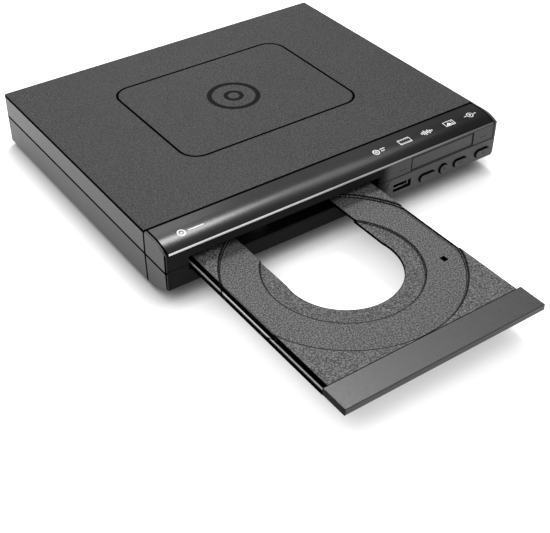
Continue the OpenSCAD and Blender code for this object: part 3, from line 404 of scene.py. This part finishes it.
def board_laminate(name, tone, trace_tone):
    """Circuit board: mask over copper runs, from crossed wave patterns."""
    run_scale, run_bend, run_edge = 110, 6, 0.85
    base_rough, run_rough = 0.35, 0.1
    material, tree, shader = new_material(name)
    point = object_point(tree)
    checks = []
    for direction in ("X", "Y"):
        wave = add(tree, "ShaderNodeTexWave", bands_direction=direction)
        wave.inputs["Scale"].default_value = run_scale
        wave.inputs["Distortion"].default_value = run_bend
        tree.links.new(point, wave.inputs["Vector"])
        checks.append(math_node(tree, "GREATER_THAN", wave.outputs["Fac"], run_edge))
    runs = math_node(tree, "MAXIMUM", *checks)
    paint = mix_colour(tree, runs, srgb(tone), srgb(trace_tone))
    tree.links.new(paint, shader.inputs["Base Color"])
    rough = math_node(tree, "ADD", base_rough, math_node(tree, "MULTIPLY", runs, run_rough))
    tree.links.new(rough, shader.inputs["Roughness"])
    return material


def soft_rubber(name, tone):
    """Matte rubber, dustier in patches."""
    dust_amount, dust_lift = 0.5, 28
    pore_scale, pore_depth = 900, 0.1 * MM
    material, tree, shader = new_material(name)
    paint = mix_colour(tree, dust(tree, dust_amount), srgb(tone), srgb(tone + dust_lift))
    tree.links.new(paint, shader.inputs["Base Color"])
    add_bump(tree, shader, noise(tree, pore_scale), 0.2, pore_depth)
    shader.inputs["Roughness"].default_value = 0.85
    return material


def coated_glass(name):
    """Clear glass with a blue coating."""
    deep_blue, pale_blue = (0.10, 0.20, 0.45), (0.22, 0.30, 0.60)
    cloud_scale = 400
    material, tree, shader = new_material(name)
    paint = mix_colour(tree, noise(tree, cloud_scale), deep_blue, pale_blue)
    tree.links.new(paint, shader.inputs["Base Color"])
    shader.inputs["Roughness"].default_value = 0.03
    shader.inputs["IOR"].default_value = 1.5
    shader.inputs["Transmission Weight"].default_value = 0.5
    return material


# ---------------------------------------------------------------- what is painted on the housing

RIM = 0.55 * MM           # the dark line along a seam
END_RIM = 0.6 * MM        # the same at the ends of the visor and the window
SHADE = 2                 # the tone of a gap
CHEEK_LINE = 0.9 * MM     # how far a cheek's side reaches round the front corner
SIDE_LIGHT_SHARE = 0.8          # how strongly the side walls take their painted light, and the cheeks their painted shade
CHEEK_SHADE_SHARE = 0.9
FRONT_TONE = 40           # of the fascia beside the tray
FACE_END = HALF_W - CHEEK_LINE

front_face = boxed(("y", -FAR, FRONT_Y + 3 * MM), ("x", -FACE_END, FACE_END))
dark_front = both(front_face, boxed(("x", -FAR, 30 * MM), soft=4 * MM))
cheek_corner = boxed(("y", -FAR, FRONT_Y + CHEEK_LINE), ("x", -FAR, 0.5 * MM - HALF_W))
cheek_side = boxed(("x", -FAR, -FACE_END))
above_seam = boxed(("z", -FAR, SEAM_Z + RIM))              # of the upper pieces
below_seam = boxed(("z", SEAM_Z - SEAM_GAP - RIM, FAR))    # of the lower pieces
shell_front = boxed(("y", -FAR, SEAM_Y + RIM))
fascia_back = boxed(("y", SEAM_Y - SEAM_GAP - RIM, FAR))
socket_hole = boxed(("x", socket_low.x - MM, socket_high.x + MM),
                    ("z", socket_low.z - MM, socket_high.z + MM),
                    ("y", FRONT_Y + 0.35 * MM, FRONT_Y + 6 * MM))

DISC_MARK = (0.0, 13.75 * MM)
DISC_TONE = 36
GROOVE_CENTRE = (1 * MM, 13.3 * MM)
GROOVE_HALF = (59 * MM, 44.5 * MM)
GROOVE_R = 11 * MM
GROOVE_HALF_WIDTH = 0.75 * MM
GROOVE_EDGE = 0.2 * MM


def disc_ring(inner, outer):
    """A mask maker for a ring of the plain disc mark on the top."""
    return lambda tree: ring(tree, *DISC_MARK, inner * MM, outer * MM)


def groove(tree):
    """A mask for the groove pressed into the top."""
    return rounded_line(tree, GROOVE_CENTRE, GROOVE_HALF, GROOVE_R, GROOVE_HALF_WIDTH,
                        GROOVE_EDGE)


cover_marks = painted(
    # painted light: the side walls lighter than the top
    (part_of(side_wall, SIDE_LIGHT_SHARE), 84),
    # painted shade: a dark band round the top's edge and down the walls of the groove
    (boxed(("z", TOP_Z - 1.1 * MM, TOP_Z - 0.04 * MM), soft=0.04 * MM), 6),
    (above_seam, SHADE), (shell_front, SHADE), (groove, SHADE),
    (disc_ring(12.8, 15.8), DISC_TONE), (disc_ring(3.4, 6), DISC_TONE))
pan_marks = painted(
    # painted light: the side walls lighter than the pan's own tone
    (part_of(side_wall, SIDE_LIGHT_SHARE), 75), (below_seam, SHADE), (shell_front, SHADE))
upper_marks = painted(
    # painted shade: the cheeks' sides darker than the fascia
    (part_of(cheek_side, CHEEK_SHADE_SHARE), 64), (dark_front, FRONT_TONE), (cheek_corner, SHADE),
    (both(cheek_side, above_seam), SHADE), (fascia_back, SHADE))
lower_marks = painted(
    # painted shade: the cheeks' sides darker than the fascia
    (part_of(cheek_side, CHEEK_SHADE_SHARE), 60), (dark_front, FRONT_TONE), (cheek_corner, SHADE),
    (both(cheek_side, below_seam), SHADE), (fascia_back, SHADE), (socket_hole, SHADE))
button_marks = painted((boxed(("y", button_low.y + 0.4 * MM, FAR)), SHADE))
shell_marks = painted((boxed(("y", socket_low.y + 1.1 * MM, FAR)), SHADE))

# Painted highlight along the visor's front edge, brightest towards the left. Painted shade dims
# the visor's reflection towards the right and blackens its ends and back edge.
edge_highlight = boxed(("y", -FAR, FRONT_Y + 0.5 * MM))
brighter_highlight_left = boxed(("x", -FAR, 10 * MM), soft=100 * MM)
reflection_dims_right = boxed(("x", 50 * MM, FAR), soft=50 * MM)
visor_light_and_shade = painted(
    (part_of(reflection_dims_right, 0.6), 8),
    (edge_highlight, 100), (both(edge_highlight, brighter_highlight_left), 250),
    (boxed(("x", -FAR, visor_low.x + END_RIM)), SHADE),
    (boxed(("x", visor_high.x - END_RIM, FAR)), SHADE),
    (boxed(("y", visor_high.y - RIM, FAR)), SHADE))
# Painted shade on the window: a shadow line under its top edge, and black at its ends.
window_shade = painted(
    (boxed(("z", window_high.z - 0.95 * MM, FAR)), 20),
    (boxed(("x", -FAR, window_low.x + 1.1 * MM)), SHADE),
    (boxed(("x", window_high.x - END_RIM, FAR)), SHADE))


# ---------------------------------------------------------------- what is painted on the tray

LIP_SKIN = 0.35 * MM
# Painted light and shade on the tray's lip, face by face: the front face a tone of its own for how
# light falls on it, the left end and the back face darker.
lip_light_and_shade = painted(
    (boxed(("y", -FAR, lip_low.y + LIP_SKIN)), 43),
    (boxed(("x", -FAR, lip_low.x + 0.3 * MM)), 40),
    (boxed(("y", lip_high.y - LIP_SKIN, FAR)), 12))

# In millimetres, with heights and depths from the tray's top.
STEP_WALLS = ((-0.62, -0.05), (-1.64, -1.1), (-2.14, -1.75), (-2.66, -2.35))
# painted shade on the walls of the recess steps
STEP_SHADE = 10
# painted shade lines along the edges of both recesses
SHADE_RING_RADII = (61.1, 40.75)
SHADE_RING_WIDTH = 0.5
SHADE_RING_TONE = 24
# a painted highlight along the ledge of each guide flange
FLANGE_HIGHLIGHT = 190
FLOOR_DEPTH = -1.75       # of the tray where the disc lies
FLANGE_DEPTH = -3.15
CUT_R = 30                # of the cut-out, whose wall gets painted shade
OUTER_SIDE = 62           # past the tray's side wall
HOLE = (45.8, -23.1)      # the locating hole, from the disc's middle
HOLE_HALF = (1.7, 2)


def from_top(low, high):
    """Limits in height, in millimetres from the tray's top."""
    return ("z", TRAY_TOP + low * MM, TRAY_TOP + high * MM)


def shade_ring(inner, outer):
    """A mask maker for a hairline of painted shade round the disc's middle."""
    return lambda tree: ring(tree, TRAY_X, DISC_Y, inner * MM, outer * MM, THIN)


def tray_layers():
    """Painted shade on the side walls, a painted highlight line along each guide flange, and
    painted shade lines along both recesses, the cut-out's wall and the locating hole.
    """
    layers = []
    for side, ledge in ((-1, 56.2), (1, 56.7)):
        def across(near, far):
            low, high = sorted((TRAY_X + side * near * MM, TRAY_X + side * far * MM))
            return ("x", low, high)
        layers += [
            (boxed(across(55.4, OUTER_SIDE), from_top(FLANGE_DEPTH, FLOOR_DEPTH)), SHADE),
            (boxed(across(55.4, 57.4), from_top(-3.6, FLOOR_DEPTH)), SHADE),
            (boxed(across(ledge, OUTER_SIDE), from_top(FLANGE_DEPTH, -0.15)), SHADE),
            (boxed(across(57.5, 58.7), from_top(-3.45, -3.2), soft=THIN), FLANGE_HIGHLIGHT),
            (boxed(across(58.3, OUTER_SIDE), ("z", -FAR, TRAY_TOP - 3 * MM)), SHADE)]
    for low, high in STEP_WALLS:
        layers.append((boxed(from_top(low, high), soft=THIN), STEP_SHADE))
    for radius in SHADE_RING_RADII:
        layers.append((shade_ring(radius, radius + SHADE_RING_WIDTH), SHADE_RING_TONE))
    layers.append((shade_ring(CUT_R + 0.2, CUT_R + 0.8), SHADE))
    cut_wall = ("x", TRAY_X + (CUT_R - 0.3) * MM, TRAY_X + (CUT_R + 0.3) * MM)
    layers.append((boxed(cut_wall, ("y", DISC_Y, FAR), soft=THIN), SHADE))
    x, y = TRAY_X + HOLE[0] * MM, DISC_Y + HOLE[1] * MM
    reach_x, reach_y = HOLE_HALF[0] * MM, HOLE_HALF[1] * MM
    hole = boxed(("x", x - reach_x, x + reach_x), ("y", y - reach_y, y + reach_y),
                 ("z", -FAR, TRAY_TOP + FLOOR_DEPTH * MM), soft=THIN)
    layers.append((hole, SHADE))
    return layers


tray_light_and_shade = painted(*tray_layers())


# ---------------------------------------------------------------- finishes

cover_finish = grained_plastic("cover grain", 46, contrast=1.8, pits=1150, roughness=0.5, bump=0.2,
                               shine=0.15, tweak=cover_marks)
pan_finish = grained_plastic("pan grain", 57, contrast=0.7, pits=950, shine=0.2, tweak=pan_marks)
upper_finish = grained_plastic("upper fascia plastic", 74, contrast=0.12, pits=1600, roughness=0.5,
                               bump=0.1, shine=0.2, tweak=upper_marks)
lower_finish = grained_plastic("lower fascia plastic", 80, contrast=0.2, pits=1600, roughness=0.5,
                               bump=0.1, shine=0.2, tweak=lower_marks)
button_finish = grained_plastic("button plastic", 78, contrast=0.15, pits=1800, roughness=0.48,
                                bump=0.08, shine=0.2, tweak=button_marks)
rear_finish = grained_plastic("rear plastic", 48, bump=0.2)
tray_finish = grained_plastic("tray grain", 85, contrast=1.85, pits=1350, bump=0.2, shine=0.2,
                              tweak=tray_light_and_shade)
lip_finish = grained_plastic("tray lip satin", 41, contrast=0.15, pits=1100, roughness=0.32,
                             bump=0.05, tweak=lip_light_and_shade)
loader_finish = grained_plastic("loader plastic", 34, contrast=0.2, roughness=0.55)
deck_finish = grained_plastic("deck plastic", 36, contrast=0.2, roughness=0.55)
acetal_finish = grained_plastic("acetal", (214, 210, 196), contrast=0.05, pits=700, roughness=0.4,
                                bump=0.05)
display_finish = grained_plastic("display block", (66, 60, 54), contrast=0.1, roughness=0.4,
                                 bump=0.05)
chip_finish = grained_plastic("chip resin", 30, contrast=0.15, roughness=0.55)
part_finish = grained_plastic("power part sleeves", (150, 128, 62), contrast=0.2, pits=500,
                              roughness=0.5)
inlet_finish = grained_plastic("inlet plastic", 26, contrast=0.2, roughness=0.5)
tongue_finish = grained_plastic("socket tongue", 232, contrast=0.08, roughness=0.45)
white_print = grained_plastic("white print", 236, contrast=0.04, pits=900, roughness=0.5,
                              bump=0.05, shine=0.4)
dark_print = grained_plastic("dark print", 34, contrast=0.1, pits=900, bump=0.05)
visor_finish = gloss_plastic("visor gloss", 10, 0.2, 0.22, visor_light_and_shade)
window_finish = gloss_plastic("window smoke", 52, 0.3, 0.3, window_shade)
yellow_finish = gloss_plastic("yellow socket", (226, 186, 32), 0.25)
white_finish = gloss_plastic("white socket", (224, 224, 220), 0.25)
red_finish = gloss_plastic("red socket", (186, 30, 26), 0.25)
feet_finish = soft_rubber("feet rubber", 34)
belt_finish = soft_rubber("belt rubber", 24)
turntable_finish = soft_rubber("turntable face", 30)
steel_finish = brushed_metal("plated steel", 190)
can_finish = brushed_metal("motor can", 178, 0.34, (900, 900, 60))
rod_finish = brushed_metal("ground rod", 205, 0.18, (900, 60, 900))
contact_finish = brushed_metal("plated contact", (206, 200, 186), 0.25)
shell_finish = brushed_metal("socket shell", 240, 0.5, tweak=shell_marks)
green_finish = board_laminate("green board", (24, 84, 52), (40, 122, 74))
tan_finish = board_laminate("tan board", (150, 118, 70), (176, 144, 92))
lens_finish = coated_glass("objective glass")

FINISHES = {
    "base_pan": pan_finish, "top_cover": cover_finish, "rear_panel": rear_finish,
    "upper_fascia": upper_finish, "lower_fascia": lower_finish, "visor": visor_finish,
    "display_window": window_finish, "rubber_feet": feet_finish, "case_screws": steel_finish,
    "loader_screws": steel_finish, "main_board": green_finish, "main_board_parts": chip_finish,
    "power_board": tan_finish, "power_parts": part_finish, "av_board": green_finish,
    "video_jack": yellow_finish, "left_jack": white_finish, "right_jack": red_finish,
    "mains_inlet": inlet_finish, "inlet_pins": contact_finish, "usb_shell": shell_finish,
    "usb_tongue": tongue_finish, "front_board": green_finish, "tact_switches": contact_finish,
    "display_module": display_finish, "ir_receiver": chip_finish, "power_button": button_finish,
    "stop_button": button_finish, "play_button": button_finish, "open_button": button_finish,
    "loader_frame": loader_finish, "loading_motor": can_finish, "motor_pulley": acetal_finish,
    "drive_belt": belt_finish, "belt_pulley": acetal_finish, "drive_gear": acetal_finish,
    "cam_slider": acetal_finish, "disc_tray": tray_finish, "tray_cover": lip_finish,
    "traverse_frame": deck_finish, "spindle_motor": can_finish, "turntable": turntable_finish,
    "guide_rods": rod_finish, "lead_screw": rod_finish, "pickup_sled": deck_finish,
    "objective_lens": lens_finish, "sled_motor": can_finish, "clamp_bridge": steel_finish,
    "clamp_puck": acetal_finish,
}
for node, finish in FINISHES.items():
    for slot in NODES[node].material_slots:
        slot.material = finish


# ---------------------------------------------------------------- rows of equal pieces

def make_row_tree(name, primitive):
    """A line of equal pieces, from their count, the first one's place, the step and their size."""
    tree = bpy.data.node_groups.new(name, "GeometryNodeTree")
    for label, kind in (("Count", "NodeSocketInt"), ("Start", "NodeSocketVector"),
                        ("Step", "NodeSocketVector"), ("Size", "NodeSocketVector"),
                        ("Finish", "NodeSocketMaterial")):
        tree.interface.new_socket(label, in_out="INPUT", socket_type=kind)
    tree.interface.new_socket("Geometry", in_out="OUTPUT", socket_type="NodeSocketGeometry")
    given, out = add(tree, "NodeGroupInput"), add(tree, "NodeGroupOutput")
    line = add(tree, "GeometryNodeMeshLine", mode="OFFSET")
    piece = add(tree, primitive)
    place = add(tree, "GeometryNodeInstanceOnPoints")
    real = add(tree, "GeometryNodeRealizeInstances")
    dress = add(tree, "GeometryNodeSetMaterial")
    if primitive == "GeometryNodeMeshCube":
        tree.links.new(given.outputs["Size"], piece.inputs["Size"])
    else:
        split = add(tree, "ShaderNodeSeparateXYZ")
        tree.links.new(given.outputs["Size"], split.inputs[0])
        for axis in ("X", "Y"):
            tree.links.new(split.outputs[axis], piece.inputs["Size " + axis])
            piece.inputs["Vertices " + axis].default_value = 2
    for source, output, target, socket in (
            (given, "Count", line, "Count"), (given, "Start", line, "Start Location"),
            (given, "Step", line, "Offset"), (line, "Mesh", place, "Points"),
            (piece, "Mesh", place, "Instance"), (place, "Instances", real, "Geometry"),
            (real, "Geometry", dress, "Geometry"), (given, "Finish", dress, "Material"),
            (dress, "Geometry", out, "Geometry")):
        tree.links.new(source.outputs[output], target.inputs[socket])
    return tree


BLOCK_ROW = make_row_tree("row of blocks", "GeometryNodeMeshCube")
MARK_ROW = make_row_tree("row of marks", "GeometryNodeMeshGrid")


def row_mesh(tree, count, start, step, size, finish):
    """Runs a row tree once and returns what it makes as a plain mesh."""
    carrier = bpy.data.objects.new("row", bpy.data.meshes.new("row"))
    bpy.context.scene.collection.objects.link(carrier)
    modifier = carrier.modifiers.new("row", "NODES")
    modifier.node_group = tree
    values = {"Count": count, "Start": start, "Step": step, "Size": size, "Finish": finish}
    for item in tree.interface.items_tree:
        if item.in_out == "INPUT":
            modifier[item.identifier] = values[item.name]
    ready = carrier.evaluated_get(bpy.context.evaluated_depsgraph_get())
    mesh = bpy.data.meshes.new_from_object(ready)
    carrier.modifiers.clear()
    bpy.data.objects.remove(carrier)
    return mesh


def add_piece(name, sheet, finish, body):
    """Makes an added piece of a finished bmesh, which it frees."""
    mesh = bpy.data.meshes.new(name)
    sheet.to_mesh(mesh)
    sheet.free()
    mesh.materials.append(finish)
    piece = bpy.data.objects.new(name, mesh)
    bpy.context.scene.collection.objects.link(piece)
    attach(piece, body)


LEG_T = 0.3 * MM
DECODER = (TRAY_X + 102 * MM, FRONT_Y + 58.25 * MM)
DECODER_LEGS, DECODER_PITCH = 15, 1.2 * MM
DECODER_OUT, DECODER_START = 10.6 * MM, 8.4 * MM
MEMORY = (DECODER[0], DECODER[1] + 28 * MM)
MEMORY_LEGS, MEMORY_PITCH = 12, 1.4 * MM
MEMORY_OUT, MEMORY_START = 5.1 * MM, 7.7 * MM


def chip_legs():
    """The rows of legs round the two large chips on the main board."""
    sheet = bmesh.new()
    z = board_high.z + LEG_T / 2
    x, y = DECODER
    u, v = MEMORY
    for side in (-1, 1):
        rows = (
            (DECODER_LEGS, (x + side * DECODER_OUT, y - DECODER_START, z), (0, DECODER_PITCH, 0),
             (1.6 * MM, 0.5 * MM, LEG_T)),
            (DECODER_LEGS, (x - DECODER_START, y + side * DECODER_OUT, z), (DECODER_PITCH, 0, 0),
             (0.5 * MM, 1.6 * MM, LEG_T)),
            (MEMORY_LEGS, (u - MEMORY_START, v + side * MEMORY_OUT, z), (MEMORY_PITCH, 0, 0),
             (0.6 * MM, 1.6 * MM, LEG_T)))
        for count, start, step, size in rows:
            mesh = row_mesh(BLOCK_ROW, count, start, step, size, contact_finish)
            sheet.from_mesh(mesh)
            bpy.data.meshes.remove(mesh)
    add_piece("chip_legs", sheet, contact_finish, "housing")


chip_legs()


# ---------------------------------------------------------------- printed shapes, in millimetres

def bar(x0, y0, x1, y1):
    return [[(x0, y0), (x1, y0), (x1, y1), (x0, y1)]]


def hollow_bar(x, y, t):
    """A frame round the middle, given by half its width, half its height and its thickness."""
    return (bar(-x, -y, x, t - y) + bar(-x, y - t, x, y) + bar(-x, t - y, t - x, y - t)
            + bar(x - t, t - y, x, y - t))


HOOP_STEPS, DOT_STEPS = 28, 16


def hoop(x, y, inner, outer, start=0, end=360):
    """A ring, or part of one, as quads."""
    turn = [math.radians(start + (end - start) * i / HOOP_STEPS) for i in range(HOOP_STEPS + 1)]
    quads = []
    for a, b in zip(turn, turn[1:]):
        quads.append([(x + r * math.cos(t), y + r * math.sin(t))
                      for r, t in ((inner, a), (outer, a), (outer, b), (inner, b))])
    return quads


def dot(x, y, r):
    turn = [2 * math.pi * i / DOT_STEPS for i in range(DOT_STEPS)]
    return [[(x + r * math.cos(t), y + r * math.sin(t)) for t in turn]]


def row_of_bars(count, start, step, size, finish):
    """Equal bars in a row."""
    mesh = row_mesh(MARK_ROW, count, (*start, 0), (*step, 0), (*size, 0), finish)
    bars = [[tuple(mesh.vertices[i].co[:2]) for i in face.vertices] for face in mesh.polygons]
    bpy.data.meshes.remove(mesh)
    return bars


SIGN_HALF_H, FRAME_T = 2.1, 0.45

disc_sign = (hoop(-2.2, 0, 1.45, 2.1) + hoop(-2.2, 0, 0.4, 0.85)
             + bar(0.8, 0.7, 4.4, 1.3) + bar(0.8, -0.9, 3.4, -0.3))
film_sign = hollow_bar(4.2, SIGN_HALF_H, FRAME_T)
for height in (-1.18, 1.18):
    film_sign += row_of_bars(5, (-3.0, height), (1.5, 0), (0.8, 0.45), white_print)
sound_sign = []
SOUND_STEP = 1.25
for step, reach in enumerate((0.7, 1.5, 2.1, 1.2, 1.8, 1.0, 0.5)):
    sound_sign += bar(-4.1 + step * SOUND_STEP, -reach, -3.4 + step * SOUND_STEP, reach)
picture_sign = (hollow_bar(3.6, SIGN_HALF_H, FRAME_T)
                + [[(-2.8, -1.4), (1.4, -1.4), (-0.7, 0.9)]]
                + [[(1.6, -1.4), (2.9, -1.4), (1.5, 0.1)]] + dot(2.0, 0.9, 0.45))
show_sign = (hoop(0, 0, 1.65, 2.15) + [[(-0.6, -1.0), (1.1, 0), (-0.6, 1.0)]]
             + bar(-4.4, -0.3, -2.7, 0.3) + bar(2.7, -0.3, 4.4, 0.3))
place_sign = hoop(-3.4, 0, 1.5, 2.3) + dot(-3.4, 0, 0.6) + bar(0.6, -0.35, 9.6, 0.35)

power_sign = hoop(0, 0, 0.75, 1.05, 120, 420) + bar(-0.16, 0.3, 0.16, 1.3)
stop_sign = bar(-0.85, -0.85, 0.85, 0.85)
play_sign = ([[(-1.5, -0.9), (0.1, 0), (-1.5, 0.9)]] + bar(0.5, -0.9, 0.85, 0.9)
             + bar(1.2, -0.9, 1.55, 0.9))
open_sign = [[(-1.1, -0.3), (1.1, -0.3), (0, 1.0)]] + bar(-1.1, -1.0, 1.1, -0.6)
dashes = bar(-2.4, -0.4, -0.4, 0.4) + bar(0.4, -0.4, 2.4, 0.4)


# ---------------------------------------------------------------- prints, laid on the housing

BROW_DEPTH = 13.5 * MM    # the visor's rounded brow, from its front edge to where it is level
BROW_DROP = 3.2 * MM
BROW_R = (BROW_DEPTH ** 2 + BROW_DROP ** 2) / (2 * BROW_DROP)
BROW_CUTS = (-1.6, -0.8, 0, 0.8, 1.6)
PRINT_LIFT = 0.01 * MM
PRINT_TOP = TOP_Z - 0.001 * MM
SIGN_Y = FRONT_Y + 10.6 * MM
DASH_Z = SEAM_Z + 3.2 * MM


def lay_print(name, shapes, to_place, cuts, finish, body):
    """Thin printed shapes, cut where the surface turns and laid on it."""
    sheet = bmesh.new()
    for shape in shapes:
        sheet.faces.new([sheet.verts.new((u, v, 0)) for u, v in shape])
    for v in cuts:
        bmesh.ops.bisect_plane(sheet, geom=sheet.verts[:] + sheet.edges[:] + sheet.faces[:],
                               plane_co=(0, v, 0), plane_no=(0, 1, 0))
    for vert in sheet.verts:
        vert.co = to_place(vert.co.x * MM, vert.co.y * MM)
    add_piece(name, sheet, finish, body)


def on_visor(x, y):
    """Maps a print centred on a place to the visor's brow."""
    def place(u, v):
        depth = FRONT_Y + BROW_DEPTH - (y + v)
        drop = BROW_R - math.sqrt(BROW_R ** 2 - depth ** 2) if depth > 0 else 0
        return Vector((x + u, y + v, min(TOP_Z - drop + PRINT_LIFT, PRINT_TOP)))
    return place


def on_front(x, y, z):
    """Maps a print centred on a place to an upright face that looks forward."""
    return lambda u, v: Vector((x + u, y - PRINT_LIFT, z + v))


for name, shapes, x, y in (
        ("disc_sign", disc_sign, 31.7, SIGN_Y), ("film_sign", film_sign, 49.8, SIGN_Y),
        ("sound_sign", sound_sign, 66.1, SIGN_Y), ("picture_sign", picture_sign, 82.8, SIGN_Y),
        ("show_sign", show_sign, 98.8, SIGN_Y),
        ("maker_place_sign", place_sign, -92, FRONT_Y + 9 * MM)):
    lay_print(name, shapes, on_visor(x * MM, y), BROW_CUTS, white_print, "housing")

for button, shapes in (("power_button", power_sign), ("stop_button", stop_sign),
                       ("play_button", play_sign), ("open_button", open_sign)):
    low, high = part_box(button)
    on_button = on_front((low.x + high.x) / 2, low.y, (low.z + high.z) / 2)
    lay_print(button + "_sign", shapes, on_button, (), dark_print, button)

for name, x in (("socket_dash", 40.9), ("open_dash", 101.1)):
    on_face = on_front(x * MM, FRONT_Y + FACE_INSET, DASH_Z)
    lay_print(name, dashes, on_face, (), dark_print, "housing")


# ---------------------------------------------------------------- floor, light and camera

FLOOR_HALF = 6.0
FLOOR_DROP = 0.05 * MM
FLOOR_TONES = (240, 246)
FLOOR_GLOW = 0.62
CONTACT_REACHES = ((13 * MM, 1.15), (30 * MM, 0.35))    # how far, and how strongly, the painted contact shadow darkens the floor
SKY_LEVEL = 0.35

# Name, place, what it points at, width, height and watts.
LAMPS = (
    ("upper left", (-0.42, -0.32, 0.55), (-0.06, -0.08, 0), 0.35, 0.35, 2),
    ("left", (-0.42, 0.36, 0.06), (-0.11, 0.06, 0.02), 0.2, 0.1, 2.4),
    ("strip", (0.37, 0.46, 1.1), (-0.02, -0.05, 0), 0.28, 0.24, 8.2),
    ("strip end", (0.74, 0.44, 1.1), (-0.02, -0.05, 0), 0.34, 0.24, 1.4),
    ("back", (0.36, 1.0, 0.95), (-0.05, -0.05, 0), 0.4, 0.4, 2.0),
)

SENSOR_W = 36
FOCAL_PX = 1078.7
CENTRE_PX = (261.53, 254.79)
EYE = (-0.30495, -0.45342, 0.34922)
LOOK = (0.44988, 0.64683, -0.61580)


def place_object(name, data, place, look):
    """An object that looks along a direction, as lamps and cameras do."""
    holder = bpy.data.objects.new(name, data)
    holder.location = place
    holder.rotation_euler = look.to_track_quat("-Z", "Y").to_euler()
    bpy.context.scene.collection.objects.link(holder)
    return holder


def stage_floor():
    """A pale floor that keeps the shadow where the player stands on it, with a painted contact
    shadow from ambient occlusion near the player.
    """
    material, tree, shader = new_material("floor")
    shader.inputs["Roughness"].default_value = 0.9
    # painted contact shadow: ambient occlusion darkens the floor's colour and glow near the player
    contact = 1.0
    for reach, power in CONTACT_REACHES:
        near = add(tree, "ShaderNodeAmbientOcclusion", samples=12)
        near.inputs["Distance"].default_value = reach
        shut = math_node(tree, "POWER", near.outputs["AO"], power)
        contact = math_node(tree, "MULTIPLY", shut, contact)
    paper = mix_colour(tree, noise(tree, 3), srgb(FLOOR_TONES[0]), srgb(FLOOR_TONES[1]))
    tree.links.new(scaled(tree, paper, contact), shader.inputs["Base Color"])
    shader.inputs["Emission Color"].default_value = (1, 1, 1, 1)
    glow = math_node(tree, "MULTIPLY", contact, FLOOR_GLOW)
    glow = math_node(tree, "MULTIPLY", seen_rays(tree), glow)
    tree.links.new(glow, shader.inputs["Emission Strength"])
    mesh = bpy.data.meshes.new("floor")
    half, z = FLOOR_HALF, FLOOR_Z - FLOOR_DROP
    corners = [(-half, -half, z), (half, -half, z), (half, half, z), (-half, half, z)]
    mesh.from_pydata(corners, [], [(0, 1, 2, 3)])
    mesh.materials.append(material)
    floor = bpy.data.objects.new("floor", mesh)
    bpy.context.scene.collection.objects.link(floor)


def light_world():
    """A dim white sky that shows at full white to the viewer."""
    world = bpy.data.worlds.new("studio")
    bpy.context.scene.world = world
    world.use_nodes = True
    tree = world.node_tree
    tree.nodes.clear()
    out = add(tree, "ShaderNodeOutputWorld")
    back = add(tree, "ShaderNodeBackground")
    level = math_node(tree, "MULTIPLY", seen_rays(tree), 1 - SKY_LEVEL)
    back.inputs["Color"].default_value = (1, 1, 1, 1)
    tree.links.new(math_node(tree, "ADD", SKY_LEVEL, level), back.inputs["Strength"])
    tree.links.new(back.outputs[0], out.inputs[0])


def area_lamp(name, place, aim, width, height, watts):
    lamp = bpy.data.lights.new(name, "AREA")
    lamp.shape = "RECTANGLE"
    lamp.size = width
    lamp.size_y = height
    lamp.energy = watts
    place_object(name, lamp, place, Vector(aim) - Vector(place))


def set_camera():
    camera = bpy.data.cameras.new("camera")
    camera.sensor_width = SENSOR_W
    camera.lens = FOCAL_PX * SENSOR_W / IMAGE_W
    camera.shift_x = (IMAGE_W / 2 - CENTRE_PX[0]) / IMAGE_W
    camera.shift_y = (CENTRE_PX[1] - IMAGE_H / 2) / IMAGE_W
    camera.clip_start = 0.01
    camera.clip_end = 50
    bpy.context.scene.camera = place_object("camera", camera, EYE, Vector(LOOK))


stage_floor()
light_world()
set_camera()
for lamp in LAMPS:
    area_lamp(*lamp)

bpy.context.scene.view_settings.view_transform = "Standard"
